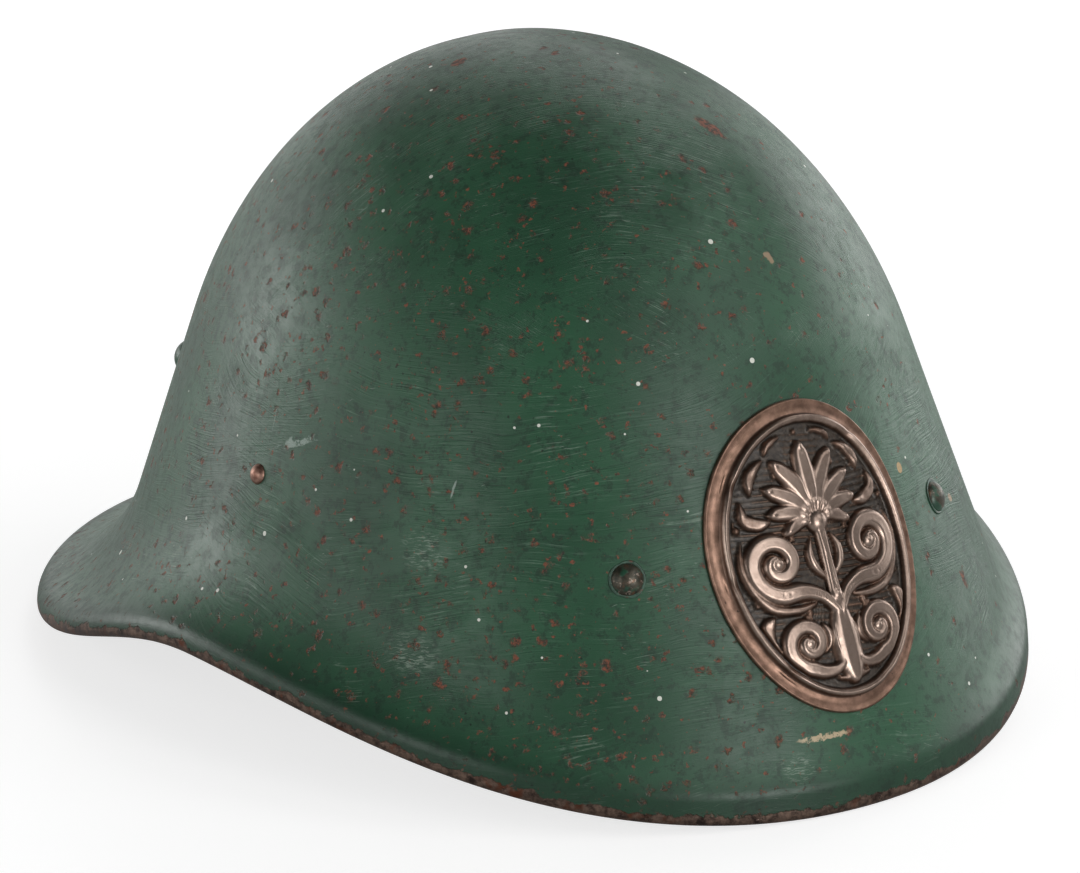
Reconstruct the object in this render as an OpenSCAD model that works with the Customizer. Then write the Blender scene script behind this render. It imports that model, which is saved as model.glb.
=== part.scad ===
// Pressed steel helmet of the 1930s with an oval badge, shown with its lining.
// Millimetres. +Z is up, the front looks along -Y, the wearer's left is +X.
// The origin is on the table, under the middle of the helmet's length.

/* [Shell] */
// Distance from the dome axis to the front edge
front_reach = 141; // [120:0.5:160]
// Distance from the dome axis to the rear edge
rear_reach = 161; // [140:0.5:185]
// Distance from the dome axis to the side edge
side_reach = 119.5; // [105:0.5:140]
// Height of the crown above the table
crown_h = 173; // [150:1:200]
// Height of the middle of the crown ellipse
crown_mid = 45; // [25:1:60]
// How far the rim arches up at the ears
ear_arch = 27; // [5:1:40]
// Thickness of the sheet
sheet = 1.2; // [0.8:0.1:2]

/* [Brim] */
// Slope of the wall from upright, at the front
wall_front = 23.5; // [10:0.5:32]
// Slope of the wall from upright, at the side
wall_side = 17; // [8:0.5:28]
// Slope of the wall from upright, at the rear
wall_rear = 18; // [8:0.5:28]
// Slope of the brim from upright, at the front
brim_front = 31; // [20:0.5:60]
// Slope of the brim from upright, at the side
brim_side = 49; // [30:0.5:80]
// Slope of the brim from upright, at the rear
brim_rear = 79; // [40:0.5:88]
// Radius of the sweep from wall to brim, at the front
sweep_front = 50; // [30:1:70]
// Radius of the sweep from wall to brim, at the side
sweep_side = 56; // [30:1:70]
// Radius of the sweep from wall to brim, at the rear
sweep_rear = 48; // [25:1:60]
// Radius of the turned-down lip
lip_r = 6.2; // [4:0.1:9]
// Height of the upright band under the lip, at the front
band_front = 5.5; // [1:0.5:8]
// Height of the upright band under the lip, at the side
band_side = 1.2; // [0.5:0.1:4]
// Height of the upright band under the lip, at the rear
band_rear = 0.6; // [0.5:0.1:4]
// Radius of the rolled edge
bead_r = 1.7; // [1.4:0.1:2.6]

/* [Badge] */
// Width of the oval plate
badge_w = 65.5; // [50:1:76]
// Height of the oval plate along the slope
badge_h = 83; // [60:1:90]
// Height of the middle of the plate
badge_z = 62; // [55:1:72]
// Width of the flat border
badge_border = 3.6; // [3:0.1:8]
// Height of the raised oval moulding over the shell
badge_relief = 3; // [2:0.1:4]
// Thickness of the fixing prongs
prong_t = 0.8; // [0.6:0.1:1.2]

/* [Liner pins] */
// Angle of the front pins from the front
pin_front = 27; // [20:0.5:40]
// Angle of the rear pins from the front
pin_rear = 148; // [135:0.5:160]
// Diameter of the domed heads
pin_head = 8.5; // [8:0.5:12]
// Diameter of the split shanks
pin_shank = 4; // [3:0.1:5]

/* [Lining] */
// Height of the hoop at the ears
hoop_z = 68; // [62:1:75]
// Rise of the hoop from front to rear, each side of that
hoop_rise = 6; // [0:0.5:8]
// Width of the hoop
hoop_w = 18; // [12:1:24]
// Thickness of the hoop
hoop_t = 0.8; // [0.6:0.1:1.2]
// Space between shell and hoop
hoop_gap = 12; // [9:0.5:14]
// Thickness of the felt pads
felt_t = 3; // [2:0.5:5]
// Thickness of the leather
leather_t = 1.8; // [1.2:0.1:2.5]
// Number of leather tongues
tongues = 8; // [6:1:10]
// Radius of the opening between the tongue tips
crown_hole = 30; // [22:1:40]
// Diameter of the lace
lace_d = 3; // [2:0.5:4]

/* [Strap fixings] */
// Height of the copper rivets
strap_z = 73; // [64:1:76]
// Distance of the copper rivets behind the dome axis
strap_back = -1; // [-4:1:6]
// Diameter of the copper heads
copper_head = 5.5; // [5:0.5:9]
// Width of the strap brackets
bracket_w = 14; // [10:1:18]
// Diameter of the ring wire
wire_d = 2.8; // [2.2:0.2:3.4]
// Height of the ring between its bars
ring_h = 13; // [11:1:18]

/* [Hidden] */
$fn = 32;
dome_y = -(rear_reach - front_reach)/2;
lip_drop = 4;
front_rise = 2.5;
rear_rise = 5.85;
rear_turn = 1.42;
corner_front = 0.01;
corner_rear = 0.03;
turns = 64;
crown_steps = 11;
eps = 0.01;
slack = 0.05;
crown_b = crown_h - crown_mid;
hoop_d = sheet + hoop_gap;
pad_d = hoop_d + hoop_t + 0.3;
skin_d = pad_d + felt_t + 0.3;
band_low = 14;
band_high = 16;
rise_d = 15;
tip_z = crown_h - 4.6;
bracket_t = 1.2;
bracket_seat = 0.3;
bracket_up = 6.5;
burr_d = 9;
burr_t = 1;
badge_seat = 0.25;
prong_w = 7;
prong_leg = 9;
prong_seat = 0.35;
pin_leg = 8;
leg_t = 1.2;
bridge_t = 1;
bridge_w = 14;
bridge_crest = 8;
bridge_heel = 18;
bridge_toe = 27;
bridge_seat = 0.65;
knuckle_bore = wire_d/2 + slack;
knuckle_r = knuckle_bore + bracket_t;
knuckle_y = -18.5;
ring_w = bracket_w + wire_d + 1.2;
pivot = let(f = frame(90, strap_z))
    f[0] + knuckle_y*f[2] - (sheet + bracket_seat + knuckle_r)*f[3] + [0, strap_back, 0];

green = [0.16, 0.27, 0.21];
bare = [0.36, 0.30, 0.26];
copper = [0.55, 0.35, 0.25];
leather = [0.42, 0.27, 0.16];
felt = [0.45, 0.43, 0.38];
steel = [0.42, 0.42, 0.41];

shell();
badge_plate();
badge_prong(1);  // badge_prong_upper
badge_prong(-1);  // badge_prong_lower
liner_pin(pin_front);  // liner_pin_front_left
liner_pin(-pin_front);  // liner_pin_front_right
liner_pin(pin_rear);  // liner_pin_rear_left
liner_pin(-pin_rear);  // liner_pin_rear_right
liner_bridge(pin_front);  // liner_bridge_front_left
liner_bridge(-pin_front);  // liner_bridge_front_right
liner_bridge(pin_rear);  // liner_bridge_rear_left
liner_bridge(-pin_rear);  // liner_bridge_rear_right
liner_hoop();
liner_leather();
liner_lace();
felt_pad(0);  // felt_pad_front
felt_pad(180);  // felt_pad_rear
felt_pad(90);  // felt_pad_left
felt_pad(-90);  // felt_pad_right
strap_rivet();  // strap_rivet_left
mirror([1, 0, 0]) strap_rivet();  // strap_rivet_right
strap_bracket();  // strap_bracket_left
mirror([1, 0, 0]) strap_bracket();  // strap_bracket_right
strap_burr();  // strap_burr_left
mirror([1, 0, 0]) strap_burr();  // strap_burr_right
strap_ring();  // strap_ring_left
mirror([1, 0, 0]) strap_ring();  // strap_ring_right

// Three section curves, front, side and rear, are blended round the dome axis.
// t is the angle from the front towards the wearer's left.
function blend(t, front, side, rear, ahead = 2, behind = 2) =
    let(w = pow(abs(sin(t)), cos(t) >= 0 ? ahead : behind))
    (cos(t) >= 0 ? front : rear)*(1 - w) + side*w;

// The section at one angle: the numbers of its ellipse, wall, sweep, lip and bead.
function section(t) =
    let(c = blend(t, wall_front, wall_side, wall_rear),
        f = max(blend(t, brim_front, brim_side, brim_rear, 2, rear_turn), c + 1),
        r = blend(t, sweep_front, sweep_side, sweep_rear, 2, rear_turn),
        e = cos(t) >= 0 ? front_reach : rear_reach,
        corner = (cos(t) >= 0 ? corner_front : corner_rear)*pow(sin(2*t), 2),
        reach = (1 + corner)/sqrt(pow(cos(t)/e, 2) + pow(sin(t)/side_reach, 2)),
        bead = [reach - bead_r, blend(t, 0, ear_arch, 0, front_rise, rear_rise) + bead_r],
        edge = bead + bead_r*[cos(lip_drop), sin(lip_drop)],
        drop = edge + blend(t, band_front, band_side, band_rear)*[-sin(lip_drop), cos(lip_drop)],
        lip = drop - lip_r*[cos(lip_drop) - cos(f), sin(lip_drop) - sin(f)],
        foot = lip - r*[cos(c) - cos(f), sin(c) - sin(f)],
        span = foot.x + (foot.y - crown_mid)*tan(c),
        a = sqrt(max(span*span - pow(crown_b*tan(c), 2), 900)))
    [c, f, r, a, bead, lip, foot, atan2(a, crown_b*tan(c)), edge];

// Points down the outside as [radius, height, slope], from beside the apex to the lip.
function outer(s) = let(c = s[0], f = s[1], r = s[2], a = s[3], lip = s[5], foot = s[6], top = s[7],
        knee = [a*sin(top), crown_mid + crown_b*cos(top)]) concat(
    [for (k = [1:crown_steps]) let(p = top*k/crown_steps)
        [a*sin(p), crown_mid + crown_b*cos(p), atan2(cos(p)/crown_b, sin(p)/a)]],
    [for (k = [1:2]) let(q = knee + (foot - knee)*k/2) [q.x, q.y, c]],
    [for (k = [1:5]) let(p = c + (f - c)*k/5)
        [foot.x + r*(cos(c) - cos(p)), foot.y + r*(sin(c) - sin(p)), p]],
    [for (k = [1:3]) let(p = f + (lip_drop - f)*k/3)
        [lip.x + lip_r*(cos(p) - cos(f)), lip.y + lip_r*(sin(p) - sin(f)), p]],
    [[s[8].x, s[8].y, lip_drop]]);

// The same points one sheet further in, read upwards, without the last at the bead.
function inner(pts) = [for (k = [len(pts) - 2:-1:0])
    [pts[k].x - sheet*cos(pts[k].z), pts[k].y - sheet*sin(pts[k].z)]];

// The round of the rolled edge, from the outside under to the inside.
function roll(b) = let(last = lip_drop + acos((bead_r - sheet)/bead_r) - 360)
    [for (k = [1:6]) let(p = lip_drop + (last - lip_drop)*k/6) b + bead_r*[cos(p), sin(p)]];

function spin(t, r, z) = [r*sin(t), dome_y - r*cos(t), z];

// Point of the outer skin at angle t and height z, above the lip.
function skin(t, z) = let(s = section(t), foot = s[6], c = s[0], knee = crown_mid + crown_b*cos(s[7]))
    spin(t, z >= knee ? s[3]*sqrt(max(1 - pow((z - crown_mid)/crown_b, 2), 0))
        : z >= foot.y ? foot.x - (z - foot.y)*tan(c)
        : foot.x + s[2]*(cos(c) - sqrt(max(1 - pow(sin(c) + (foot.y - z)/s[2], 2), 0))), z);

function unit(v) = v/norm(v);

// Origin on the skin with its three axes: along the skin level, up the slope, and outward.
function frame(t, z) = let(x = unit(skin(t + 0.3, z) - skin(t - 0.3, z)),
        up = skin(t, z + 0.3) - skin(t, z - 0.3), n = unit(cross(x, up)))
    [skin(t, z), x, cross(n, x), n];

// Point at depth d under the skin.
function under(t, z, d) = let(f = frame(t, z)) f[0] - d*f[3];

module on_skin(t, z) {
    f = frame(t, z);
    multmatrix([[f[1].x, f[2].x, f[3].x, f[0].x], [f[1].y, f[2].y, f[3].y, f[0].y],
        [f[1].z, f[2].z, f[3].z, f[0].z], [0, 0, 0, 1]]) children();
}

// Closed solid between an outer and an inner grid of points, round the dome or in a patch.
module between(out, inn, round_dome) {
    m = len(out);
    n = len(out[0]);
    function o(i, j) = (i % m)*n + j;
    function q(i, j) = m*n + (i % m)*n + j;
    steps = round_dome ? m - 1 : m - 2;
    faces = concat(
        [for (i = [0:steps], j = [0:n - 2]) each
            [[o(i, j), o(i, j + 1), o(i + 1, j + 1)], [o(i, j), o(i + 1, j + 1), o(i + 1, j)]]],
        [for (i = [0:steps], j = [0:n - 2]) each
            [[q(i, j), q(i + 1, j + 1), q(i, j + 1)], [q(i, j), q(i + 1, j), q(i + 1, j + 1)]]],
        [for (i = [0:steps]) each
            [[o(i, 0), o(i + 1, 0), q(i + 1, 0)], [o(i, 0), q(i + 1, 0), q(i, 0)]]],
        [for (i = [0:steps]) each
            [[o(i, n - 1), q(i + 1, n - 1), o(i + 1, n - 1)], [o(i, n - 1), q(i, n - 1), q(i + 1, n - 1)]]],
        round_dome ? [] : [for (j = [0:n - 2]) each
            [[o(0, j), q(0, j + 1), o(0, j + 1)], [o(0, j), q(0, j), q(0, j + 1)]]],
        round_dome ? [] : [for (j = [0:n - 2]) each
            [[o(m - 1, j), o(m - 1, j + 1), q(m - 1, j + 1)], [o(m - 1, j), q(m - 1, j + 1), q(m - 1, j)]]]);
    polyhedron(concat([for (row = out) each row], [for (row = inn) each row]), faces);
}

// Middle height of the lining's hoop.
function hoop_mid(t) = hoop_z - hoop_rise*cos(t);

module shell() {
    rows = [for (i = [0:turns - 1]) let(t = 360*i/turns, s = section(t), out = outer(s))
        [for (p = concat([for (p = out) [p.x, p.y]], roll(s[4]), inner(out))) spin(t, p.x, p.y)]];
    n = len(rows[0]);
    top = turns*n;
    points = concat([for (row = rows) each row],
        [[0, dome_y, crown_h], [0, dome_y, crown_h - sheet]]);
    function at(i, j) = (i % turns)*n + j;
    faces = concat(
        [for (i = [0:turns - 1], j = [0:n - 2]) each
            [[at(i, j), at(i, j + 1), at(i + 1, j + 1)], [at(i, j), at(i + 1, j + 1), at(i + 1, j)]]],
        [for (i = [0:turns - 1]) [top, at(i, 0), at(i + 1, 0)]],
        [for (i = [0:turns - 1]) [top + 1, at(i + 1, n - 1), at(i, n - 1)]]);
    color(green) difference() {
        polyhedron(points, faces);
        for (t = [pin_front, -pin_front, pin_rear, -pin_rear])
            on_skin(t, hoop_mid(t)) translate([0, 0, -6]) cylinder(d = pin_shank + 2*slack, h = 12);
        for (side = [0, 1]) mirror([side, 0, 0]) on_strap()
            translate([0, 0, -6]) cylinder(d = copper_head/2 + 2*slack, h = 12);
        for (side = [1, -1]) on_prong(side)
            translate([-prong_w/2 - 0.2, -prong_t/2 - 0.1, -6]) cube([prong_w + 0.4, prong_t + 0.2, 12]);
    }
}

// Badge: u runs level from its middle, v up the slope, h is the height over the skin.
function badge_pt(u, v, h) = let(z = badge_z + v*cos(wall_front),
        r = norm([skin(0, z).x, skin(0, z).y - dome_y]), f = frame(asin(u/r), z)) f[0] + h*f[3];

module badge_plate() {
    // Distance in from the edge and height over the skin, ring by ring
    step = [[0, 0.7], [0.5, 1.2], [badge_border, 1.2], [badge_border + 0.7, badge_relief - 0.5],
        [badge_border + 1.8, badge_relief], [badge_border + 2.9, badge_relief - 0.5],
        [badge_border + 3.6, 1], [badge_border + 8, 1.1], [badge_border + 14, 1.5]];
    out = [for (i = [0:47]) [for (s = step)
        badge_pt((badge_w/2 - s.x)*sin(7.5*i), (badge_h/2 - s.x)*cos(7.5*i), s.y)]];
    back = [for (i = [0:47]) [for (s = step)
        badge_pt((badge_w/2 - s.x)*sin(7.5*i), (badge_h/2 - s.x)*cos(7.5*i), badge_seat)]];
    n = len(step);
    m = 48*n;
    function o(i, j) = (i % 48)*n + j;
    faces = concat(
        [for (i = [0:47], j = [0:n - 2]) each
            [[o(i, j), o(i + 1, j + 1), o(i, j + 1)], [o(i, j), o(i + 1, j), o(i + 1, j + 1)]]],
        [for (i = [0:47], j = [0:n - 2]) each [[m + o(i, j), m + o(i, j + 1), m + o(i + 1, j + 1)],
            [m + o(i, j), m + o(i + 1, j + 1), m + o(i + 1, j)]]],
        [for (i = [0:47]) each [[o(i, 0), m + o(i, 0), m + o(i + 1, 0)], [o(i, 0), m + o(i + 1, 0), o(i + 1, 0)]]],
        [for (i = [0:47]) [2*m, o(i, n - 1), o(i + 1, n - 1)]],
        [for (i = [0:47]) [2*m + 1, m + o(i + 1, n - 1), m + o(i, n - 1)]]);
    color(copper) polyhedron(concat([for (row = out) each row], [for (row = back) each row],
        [badge_pt(0, 0, 2), badge_pt(0, 0, badge_seat)]), faces);
}

module on_prong(side) on_skin(0, badge_z + side*0.34*badge_h*cos(wall_front)) children();

// Strip through the shell, folded inside, away from the plate's middle, along the wall.
module badge_prong(side) {
    z = badge_z + side*0.34*badge_h*cos(wall_front);
    f = frame(0, z);
    tip = under(0, z + side*prong_leg*cos(wall_front), sheet + prong_seat) - f[0];
    leg = [tip*f[2], tip*f[3]];
    in = -sheet - prong_seat;
    turn = prong_t*[leg.y - in, -leg.x]*side/norm(leg - [0, in]);
    color(copper) on_prong(side) rotate([90, 0, 90]) linear_extrude(prong_w, center = true)
        polygon([[-side*prong_t/2, badge_seat - 0.1], [side*prong_t/2, badge_seat - 0.1], [side*prong_t/2, in],
            leg, leg + turn, [-side*prong_t/2, in - prong_t]]);
}

// Domed split pin: the head outside, the halves of the shank bent apart inside.
module liner_pin(t) color(green) on_skin(t, hoop_mid(t)) {
    rise = 0.26*pin_head;
    ball = (pin_head*pin_head/4 + rise*rise)/(2*rise);
    seat = -sheet - bridge_seat - bridge_t;
    intersection() {
        translate([0, 0, rise - ball]) sphere(ball, $fn = 48);
        cylinder(d = pin_head, h = 2*rise, $fn = 48);
    }
    translate([0, 0, seat - leg_t]) cylinder(d = pin_shank, h = leg_t - seat);
    for (side = [-1, 1]) translate([-pin_shank/2, side > 0 ? 0 : -pin_leg, seat - leg_t - 0.1])
        cube([pin_shank, pin_leg, leg_t]);
}

// Local [level, outward] place of the hoop's outer face, e along the skin from the pin.
function hoop_at(t, e) = let(f = frame(t, hoop_mid(t)),
        q = under(t + e/(norm([f[0].x, f[0].y - dome_y]) - hoop_d)*180/PI, hoop_mid(t), hoop_d) - f[0])
    [q*f[1], q*f[3]];

// Spring-steel bridge: crest on the shell under the pin, feet on the hoop.
module liner_bridge(t) {
    crest = -sheet - bridge_seat - bridge_t/2;
    line = [hoop_at(t, -bridge_toe), hoop_at(t, -bridge_heel), [-bridge_crest, crest],
        [bridge_crest, crest], hoop_at(t, bridge_heel), hoop_at(t, bridge_toe)];
    half = [for (k = [0:5]) k == 2 || k == 3 ? 0 : bridge_t/2 + 0.35];
    mid = [for (k = [0:5]) [line[k].x, line[k].y + half[k]]];
    dir = [for (k = [0:4]) unit(mid[k + 1] - mid[k])];
    way = [for (k = [0:5]) unit((k < 5 ? dir[k] : dir[4]) + (k > 0 ? dir[k - 1] : dir[0]))];
    side = [for (k = [0:5]) let(w = way[k], g = k < 5 ? dir[k] : dir[4]) [-w.y, w.x]*bridge_t/2/(w*g)];
    color(steel) on_skin(t, hoop_mid(t)) difference() {
        rotate([90, 0, 0]) linear_extrude(bridge_w, center = true)
            polygon(concat([for (k = [0:5]) mid[k] + side[k]], [for (k = [5:-1:0]) mid[k] - side[k]]));
        translate([0, 0, -sheet - 4]) cylinder(d = pin_shank + 0.2, h = 5);
    }
}

module liner_hoop() {
    out = [for (i = [0:turns - 1]) let(t = 360*i/turns)
        [for (z = [hoop_w/2, -hoop_w/2]) under(t, hoop_mid(t) + z, hoop_d)]];
    inn = [for (i = [0:turns - 1]) let(t = 360*i/turns)
        [for (z = [hoop_w/2, -hoop_w/2]) under(t, hoop_mid(t) + z, hoop_d + hoop_t)]];
    color(steel) between(out, inn, true);
}

// Depth of the leather under the skin: it leaves the wall and closes over the head.
function leather_d(z) = let(k = max(0, (z - hoop_z - band_high)/(tip_z - hoop_z - band_high)))
    skin_d + rise_d*k*k;

// Leather point at angle t, k from 0 at the band's edge to 1 at the tips.
function leather_pt(t, k, more) = let(
        low = acos((hoop_mid(t) - band_low - crown_mid)/crown_b), high = acos((tip_z - crown_mid)/crown_b),
        z = crown_mid + crown_b*cos(low + (high - low)*k))
    under(t, z, leather_d(z) + more);

module liner_leather() {
    n = 12;
    out = [for (i = [0:47]) [for (k = [n:-1:0]) leather_pt(7.5*i, k/n, 0)]];
    inn = [for (i = [0:47]) [for (k = [n:-1:0]) leather_pt(7.5*i, k/n, leather_t)]];
    color(leather) difference() {
        between(out, inn, true);
        translate([0, dome_y, hoop_z + band_high]) {
            cylinder(r = crown_hole, h = crown_h);
            for (k = [0:tongues - 1]) rotate((k + 0.5)*360/tongues) linear_extrude(crown_h)
                polygon([[0, -5], [40, -4], [130, -2.5], [130, 2.5], [40, 4], [0, 5]]);
        }
    }
}

// Lace that gathers the tongue tips, lying on their outer side.
module liner_lace() {
    r = lace_d/2;
    rings = [for (i = [0:39]) let(t = 9*i,
            k = lookup(crown_hole + 7, [for (k = [0.5:0.05:1]) let(p = leather_pt(t, k, 0))
                [norm([p.x, p.y - dome_y]), k]]),
            p = leather_pt(t, k, -r - 0.15), away = unit([p.x, p.y - dome_y, 0]))
        [for (j = [0:7]) p + r*(cos(45*j)*away + sin(45*j)*[0, 0, 1])]];
    faces = [for (i = [0:39], j = [0:7]) let(a = i*8 + j, b = i*8 + (j + 1)%8,
            c = ((i + 1)%40)*8 + (j + 1)%8, d = ((i + 1)%40)*8 + j) each [[a, b, c], [a, c, d]]];
    color(leather) polyhedron([for (row = rings) each row], faces);
}

module felt_pad(t) {
    out = [for (i = [-6:6]) [for (z = [hoop_w/2, -hoop_w/2]) under(t + 2.2*i, hoop_mid(t + 2.2*i) + z, pad_d)]];
    inn = [for (i = [-6:6]) [for (z = [hoop_w/2, -hoop_w/2])
        under(t + 2.2*i, hoop_mid(t + 2.2*i) + z, pad_d + felt_t)]];
    color(felt) between(out, inn, false);
}

module on_strap() translate([0, strap_back, 0]) on_skin(90, strap_z) children();

module strap_rivet() color(copper) on_strap() {
    rise = 0.3*copper_head;
    ball = (copper_head*copper_head/4 + rise*rise)/(2*rise);
    tail = -sheet - bracket_seat - bracket_t - burr_t - slack;
    intersection() {
        translate([0, 0, rise - ball]) sphere(ball, $fn = 48);
        cylinder(d = copper_head, h = 2*rise, $fn = 48);
    }
    translate([0, 0, tail - 0.6]) cylinder(d = copper_head/2, h = 0.7 - tail);
    translate([0, 0, tail - 0.8]) cylinder(d1 = copper_head/2, d2 = copper_head/2 + 1.6, h = 0.8);
}

// Bracket against the inside of the shell, its lower end rolled round the ring's bar.
module strap_bracket() color(steel) on_strap() {
    face = -sheet - bracket_seat;
    difference() {
        union() {
            translate([-bracket_w/2, knuckle_y, face - bracket_t]) cube([bracket_w, bracket_up - knuckle_y, bracket_t]);
            translate([-bracket_w/2, knuckle_y, face - knuckle_r])
                rotate([0, 90, 0]) cylinder(r = knuckle_r, h = bracket_w);
        }
        translate([-bracket_w/2 - 1, knuckle_y, face - knuckle_r])
            rotate([0, 90, 0]) cylinder(r = knuckle_bore, h = bracket_w + 2);
        translate([0, 0, face - 3]) cylinder(d = copper_head/2 + 2*slack, h = 5);
    }
}

module strap_burr() color(copper) on_strap()
    translate([0, 0, -sheet - bracket_seat - bracket_t - burr_t - slack/2]) difference() {
        cylinder(d = burr_d, h = burr_t);
        translate([0, 0, -1]) cylinder(d = copper_head/2 + 2*slack, h = 3);
    }

// Loose ring for the chin strap, hanging straight down from the bracket.
module strap_ring() color(steel) translate(pivot) {
    r = wire_d/2;
    for (z = [0, -ring_h]) translate([0, -ring_w/2, z]) rotate([-90, 0, 0]) cylinder(r = r, h = ring_w);
    for (y = [-1, 1], z = [0, -ring_h]) translate([0, y*ring_w/2, z]) sphere(r);
    for (y = [-1, 1]) translate([0, y*ring_w/2, -ring_h]) cylinder(r = r, h = ring_h);
}
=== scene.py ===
# A worn steel helmet with a copper badge, and its leather lining inside.
import math

import bpy
import bmesh
import numpy as np
from mathutils import Matrix, Vector


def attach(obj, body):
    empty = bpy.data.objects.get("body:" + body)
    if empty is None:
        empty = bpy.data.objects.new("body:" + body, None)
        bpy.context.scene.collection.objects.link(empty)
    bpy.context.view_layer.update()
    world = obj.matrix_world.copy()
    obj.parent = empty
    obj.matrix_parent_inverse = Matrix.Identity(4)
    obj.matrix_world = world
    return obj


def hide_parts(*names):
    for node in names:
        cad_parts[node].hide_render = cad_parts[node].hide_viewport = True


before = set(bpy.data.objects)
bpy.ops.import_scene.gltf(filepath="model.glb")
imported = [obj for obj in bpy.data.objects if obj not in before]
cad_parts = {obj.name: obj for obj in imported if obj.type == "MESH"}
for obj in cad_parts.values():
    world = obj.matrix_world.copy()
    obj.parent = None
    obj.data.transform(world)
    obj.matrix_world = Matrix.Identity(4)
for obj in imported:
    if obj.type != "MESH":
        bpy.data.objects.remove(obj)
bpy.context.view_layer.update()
MM = 0.001

# The shell's sizes in millimetres and degrees, as in the solid model
FRONT, REAR, SIDE, CROWN, MID, ARCH = 141.0, 161.0, 119.5, 173.0, 45.0, 27.0
SHEET, LIP_R, BEAD_R, DROP = 1.2, 6.2, 1.7, 4.0
# At the front, side and rear: the wall's lean, the brim's lean, the radius of its sweep, the upright band
LEAN, FLARE, SWEEP_R, BAND = (23.5, 17.0, 18.0), (31.0, 49.0, 79.0), (50.0, 56.0, 48.0), (5.5, 1.2, 0.6)
# Unevenness of the pressed sheet: size, seed and depth of each kind, and how it fades towards the rim
DENTS, DENT_FROM, DENT_FULL = ((70.0, 4, 0.24), (22.0, 9, 0.025)), 8.0, 33.0
DOME_Y = -(REAR - FRONT) / 2
CROWN_B = CROWN - MID

# The badge, its ridge and its sunk field
BADGE_W, BADGE_H, BADGE_Z, BADGE_SLOPE = 65.5, 83.0, 62.0, 23.5
RIDGE_IN, RIDGE_HALF, FIELD_IN, RINGS_IN = 5.3, 1.2, 6.4, 6.9
EDGE_R, GROUND, PLATE, RIDGE_H, HATCH_H, HATCH_PITCH, STROKE_TOP = 0.5, 0.95, 1.3, 1.9, 0.34, 1.7, 0.9

# The lining, counted inwards from the shell's outer face
HOOP_Z, HOOP_RISE, HOOP_W, HOOP_T, HOOP_GAP = 68.0, 6.0, 18.0, 0.8, 12.0
HOOP_D = SHEET + HOOP_GAP
FELT_T, LEATHER_T = 3.0, 1.8
PAD_D = HOOP_D + HOOP_T + 0.3
SKIN_D = PAD_D + FELT_T + 0.3
BAND_LOW, BAND_HIGH, RISE_D = 14.0, 16.0, 15.0
TIP_Z = CROWN - 4.6
TONGUES, TONGUE_RUN, TIP_CORNER, HOLE_R, LACE_R = 8, 88.0, 7.5, 31.0, 37.0
SLOT_AT, SLOT_HALF, BELLY, CREASE = [0, 40, 130], [5.0, 4.0, 2.5], 2.6, 0.62
SEAM_UP, LACE_W, LACE_T = 3.4, 1.5, 1.25
# Angles round the shell: between two stitches, of the lace's knot, and half of a felt pad
SEAM_PITCH, KNOT_T, FELT_TURN = 2.6, 292.0, 13.2
MIDDLE = np.array([0, DOME_Y, 60.0])

# Pins and bridges by their angle round the shell, and the strap fixings over the ears
PINS = {"front_left": 27.0, "front_right": -27.0, "rear_left": 148.0, "rear_right": -148.0}
RIVETS = (27, -27, 66, -66, 112, -112, 148, -148)
PIN_R, PIN_RISE, RIVET_R, RIVET_RISE = 4.25, 2.2, 2.75, 1.65
BRIDGE_T, BRIDGE_GAP, BRIDGE_W, BRIDGE_END, BRIDGE_RIVET, BRIDGE_OUT = 1.0, 0.65, 14.0, 27.0, 22.5, 0.85
STRAP_T, STRAP_Z, STRAP_BACK = 90.0, 73.0, -1.0
STRIP_GAP, STRIP_T, STRIP_W, BORE = 0.3, 1.2, 14.0, 1.45
RING_H, RING_R, RING_PLAY, WIRE, RING_AT = 13.0, 3.2, 1.2, 1.4, (97.994, -10.999, 54.095)

# Camera in metres: its place, and its right, up and backward directions
CAMERA_AT, CAMERA_LENS, SENSOR = (-1.44369, -1.89278, 0.90521), 312.03, 36.0
RIGHT, UP, BACK = (0.7936, -0.60844, -0.00204), (0.20526, 0.26455, 0.94228), (-0.57278, -0.7482, 0.33483)

# Lamps: name, degrees round from the camera to the photograph's right, degrees up, power
LAMPS = (("front_right", 40, 8, 22.5), ("front_right_high", 40, 40, 5.6), ("right_high", 80, 40, 7.0),
         ("right_low", 110, 8, 5.6), ("right_edge", 130, 8, 10.0), ("back_right", 150, 8, 6.4),
         ("back_right_high", 155, 40, 7.4), ("back_high", 180, 30, 5.2), ("back_left", -150, 8, 2.2),
         ("back_left_high", -155, 40, 2.0), ("left_edge", -130, 8, 3.8), ("far_left", -168, 6, 3.0),
         ("left_low", -110, 8, 17.0), ("left_side", -75, 8, 6.0), ("front_left", -40, 8, 10.7))
LAMP_FAR, LAMP_SIZE, LAMP_FOOT, LAMP_AIM = 2.2, 0.9, 0.1, (0, -0.01, 0.08)
# Light of the surroundings, and the floor's glow, colour and height
WORLD_FILL, FLOOR_GLOW, FLOOR_IN_GLOSS, FLOOR_GREY, FLOOR_Z = 0.03, 0.72, 0.15, 0.5, -0.0002


def sind(a):
    return np.sin(np.radians(a))


def cosd(a):
    return np.cos(np.radians(a))


def unit(v):
    return v / np.linalg.norm(v, axis=-1, keepdims=True)


# Value round the shell from those at its front, side and rear
def blend(t, front, side, rear, ahead=2.0, behind=2.0):
    w = np.where(cosd(t) >= 0, np.abs(sind(t)) ** ahead, np.abs(sind(t)) ** behind)
    return np.where(cosd(t) >= 0, front, rear) * (1 - w) + side * w


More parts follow.
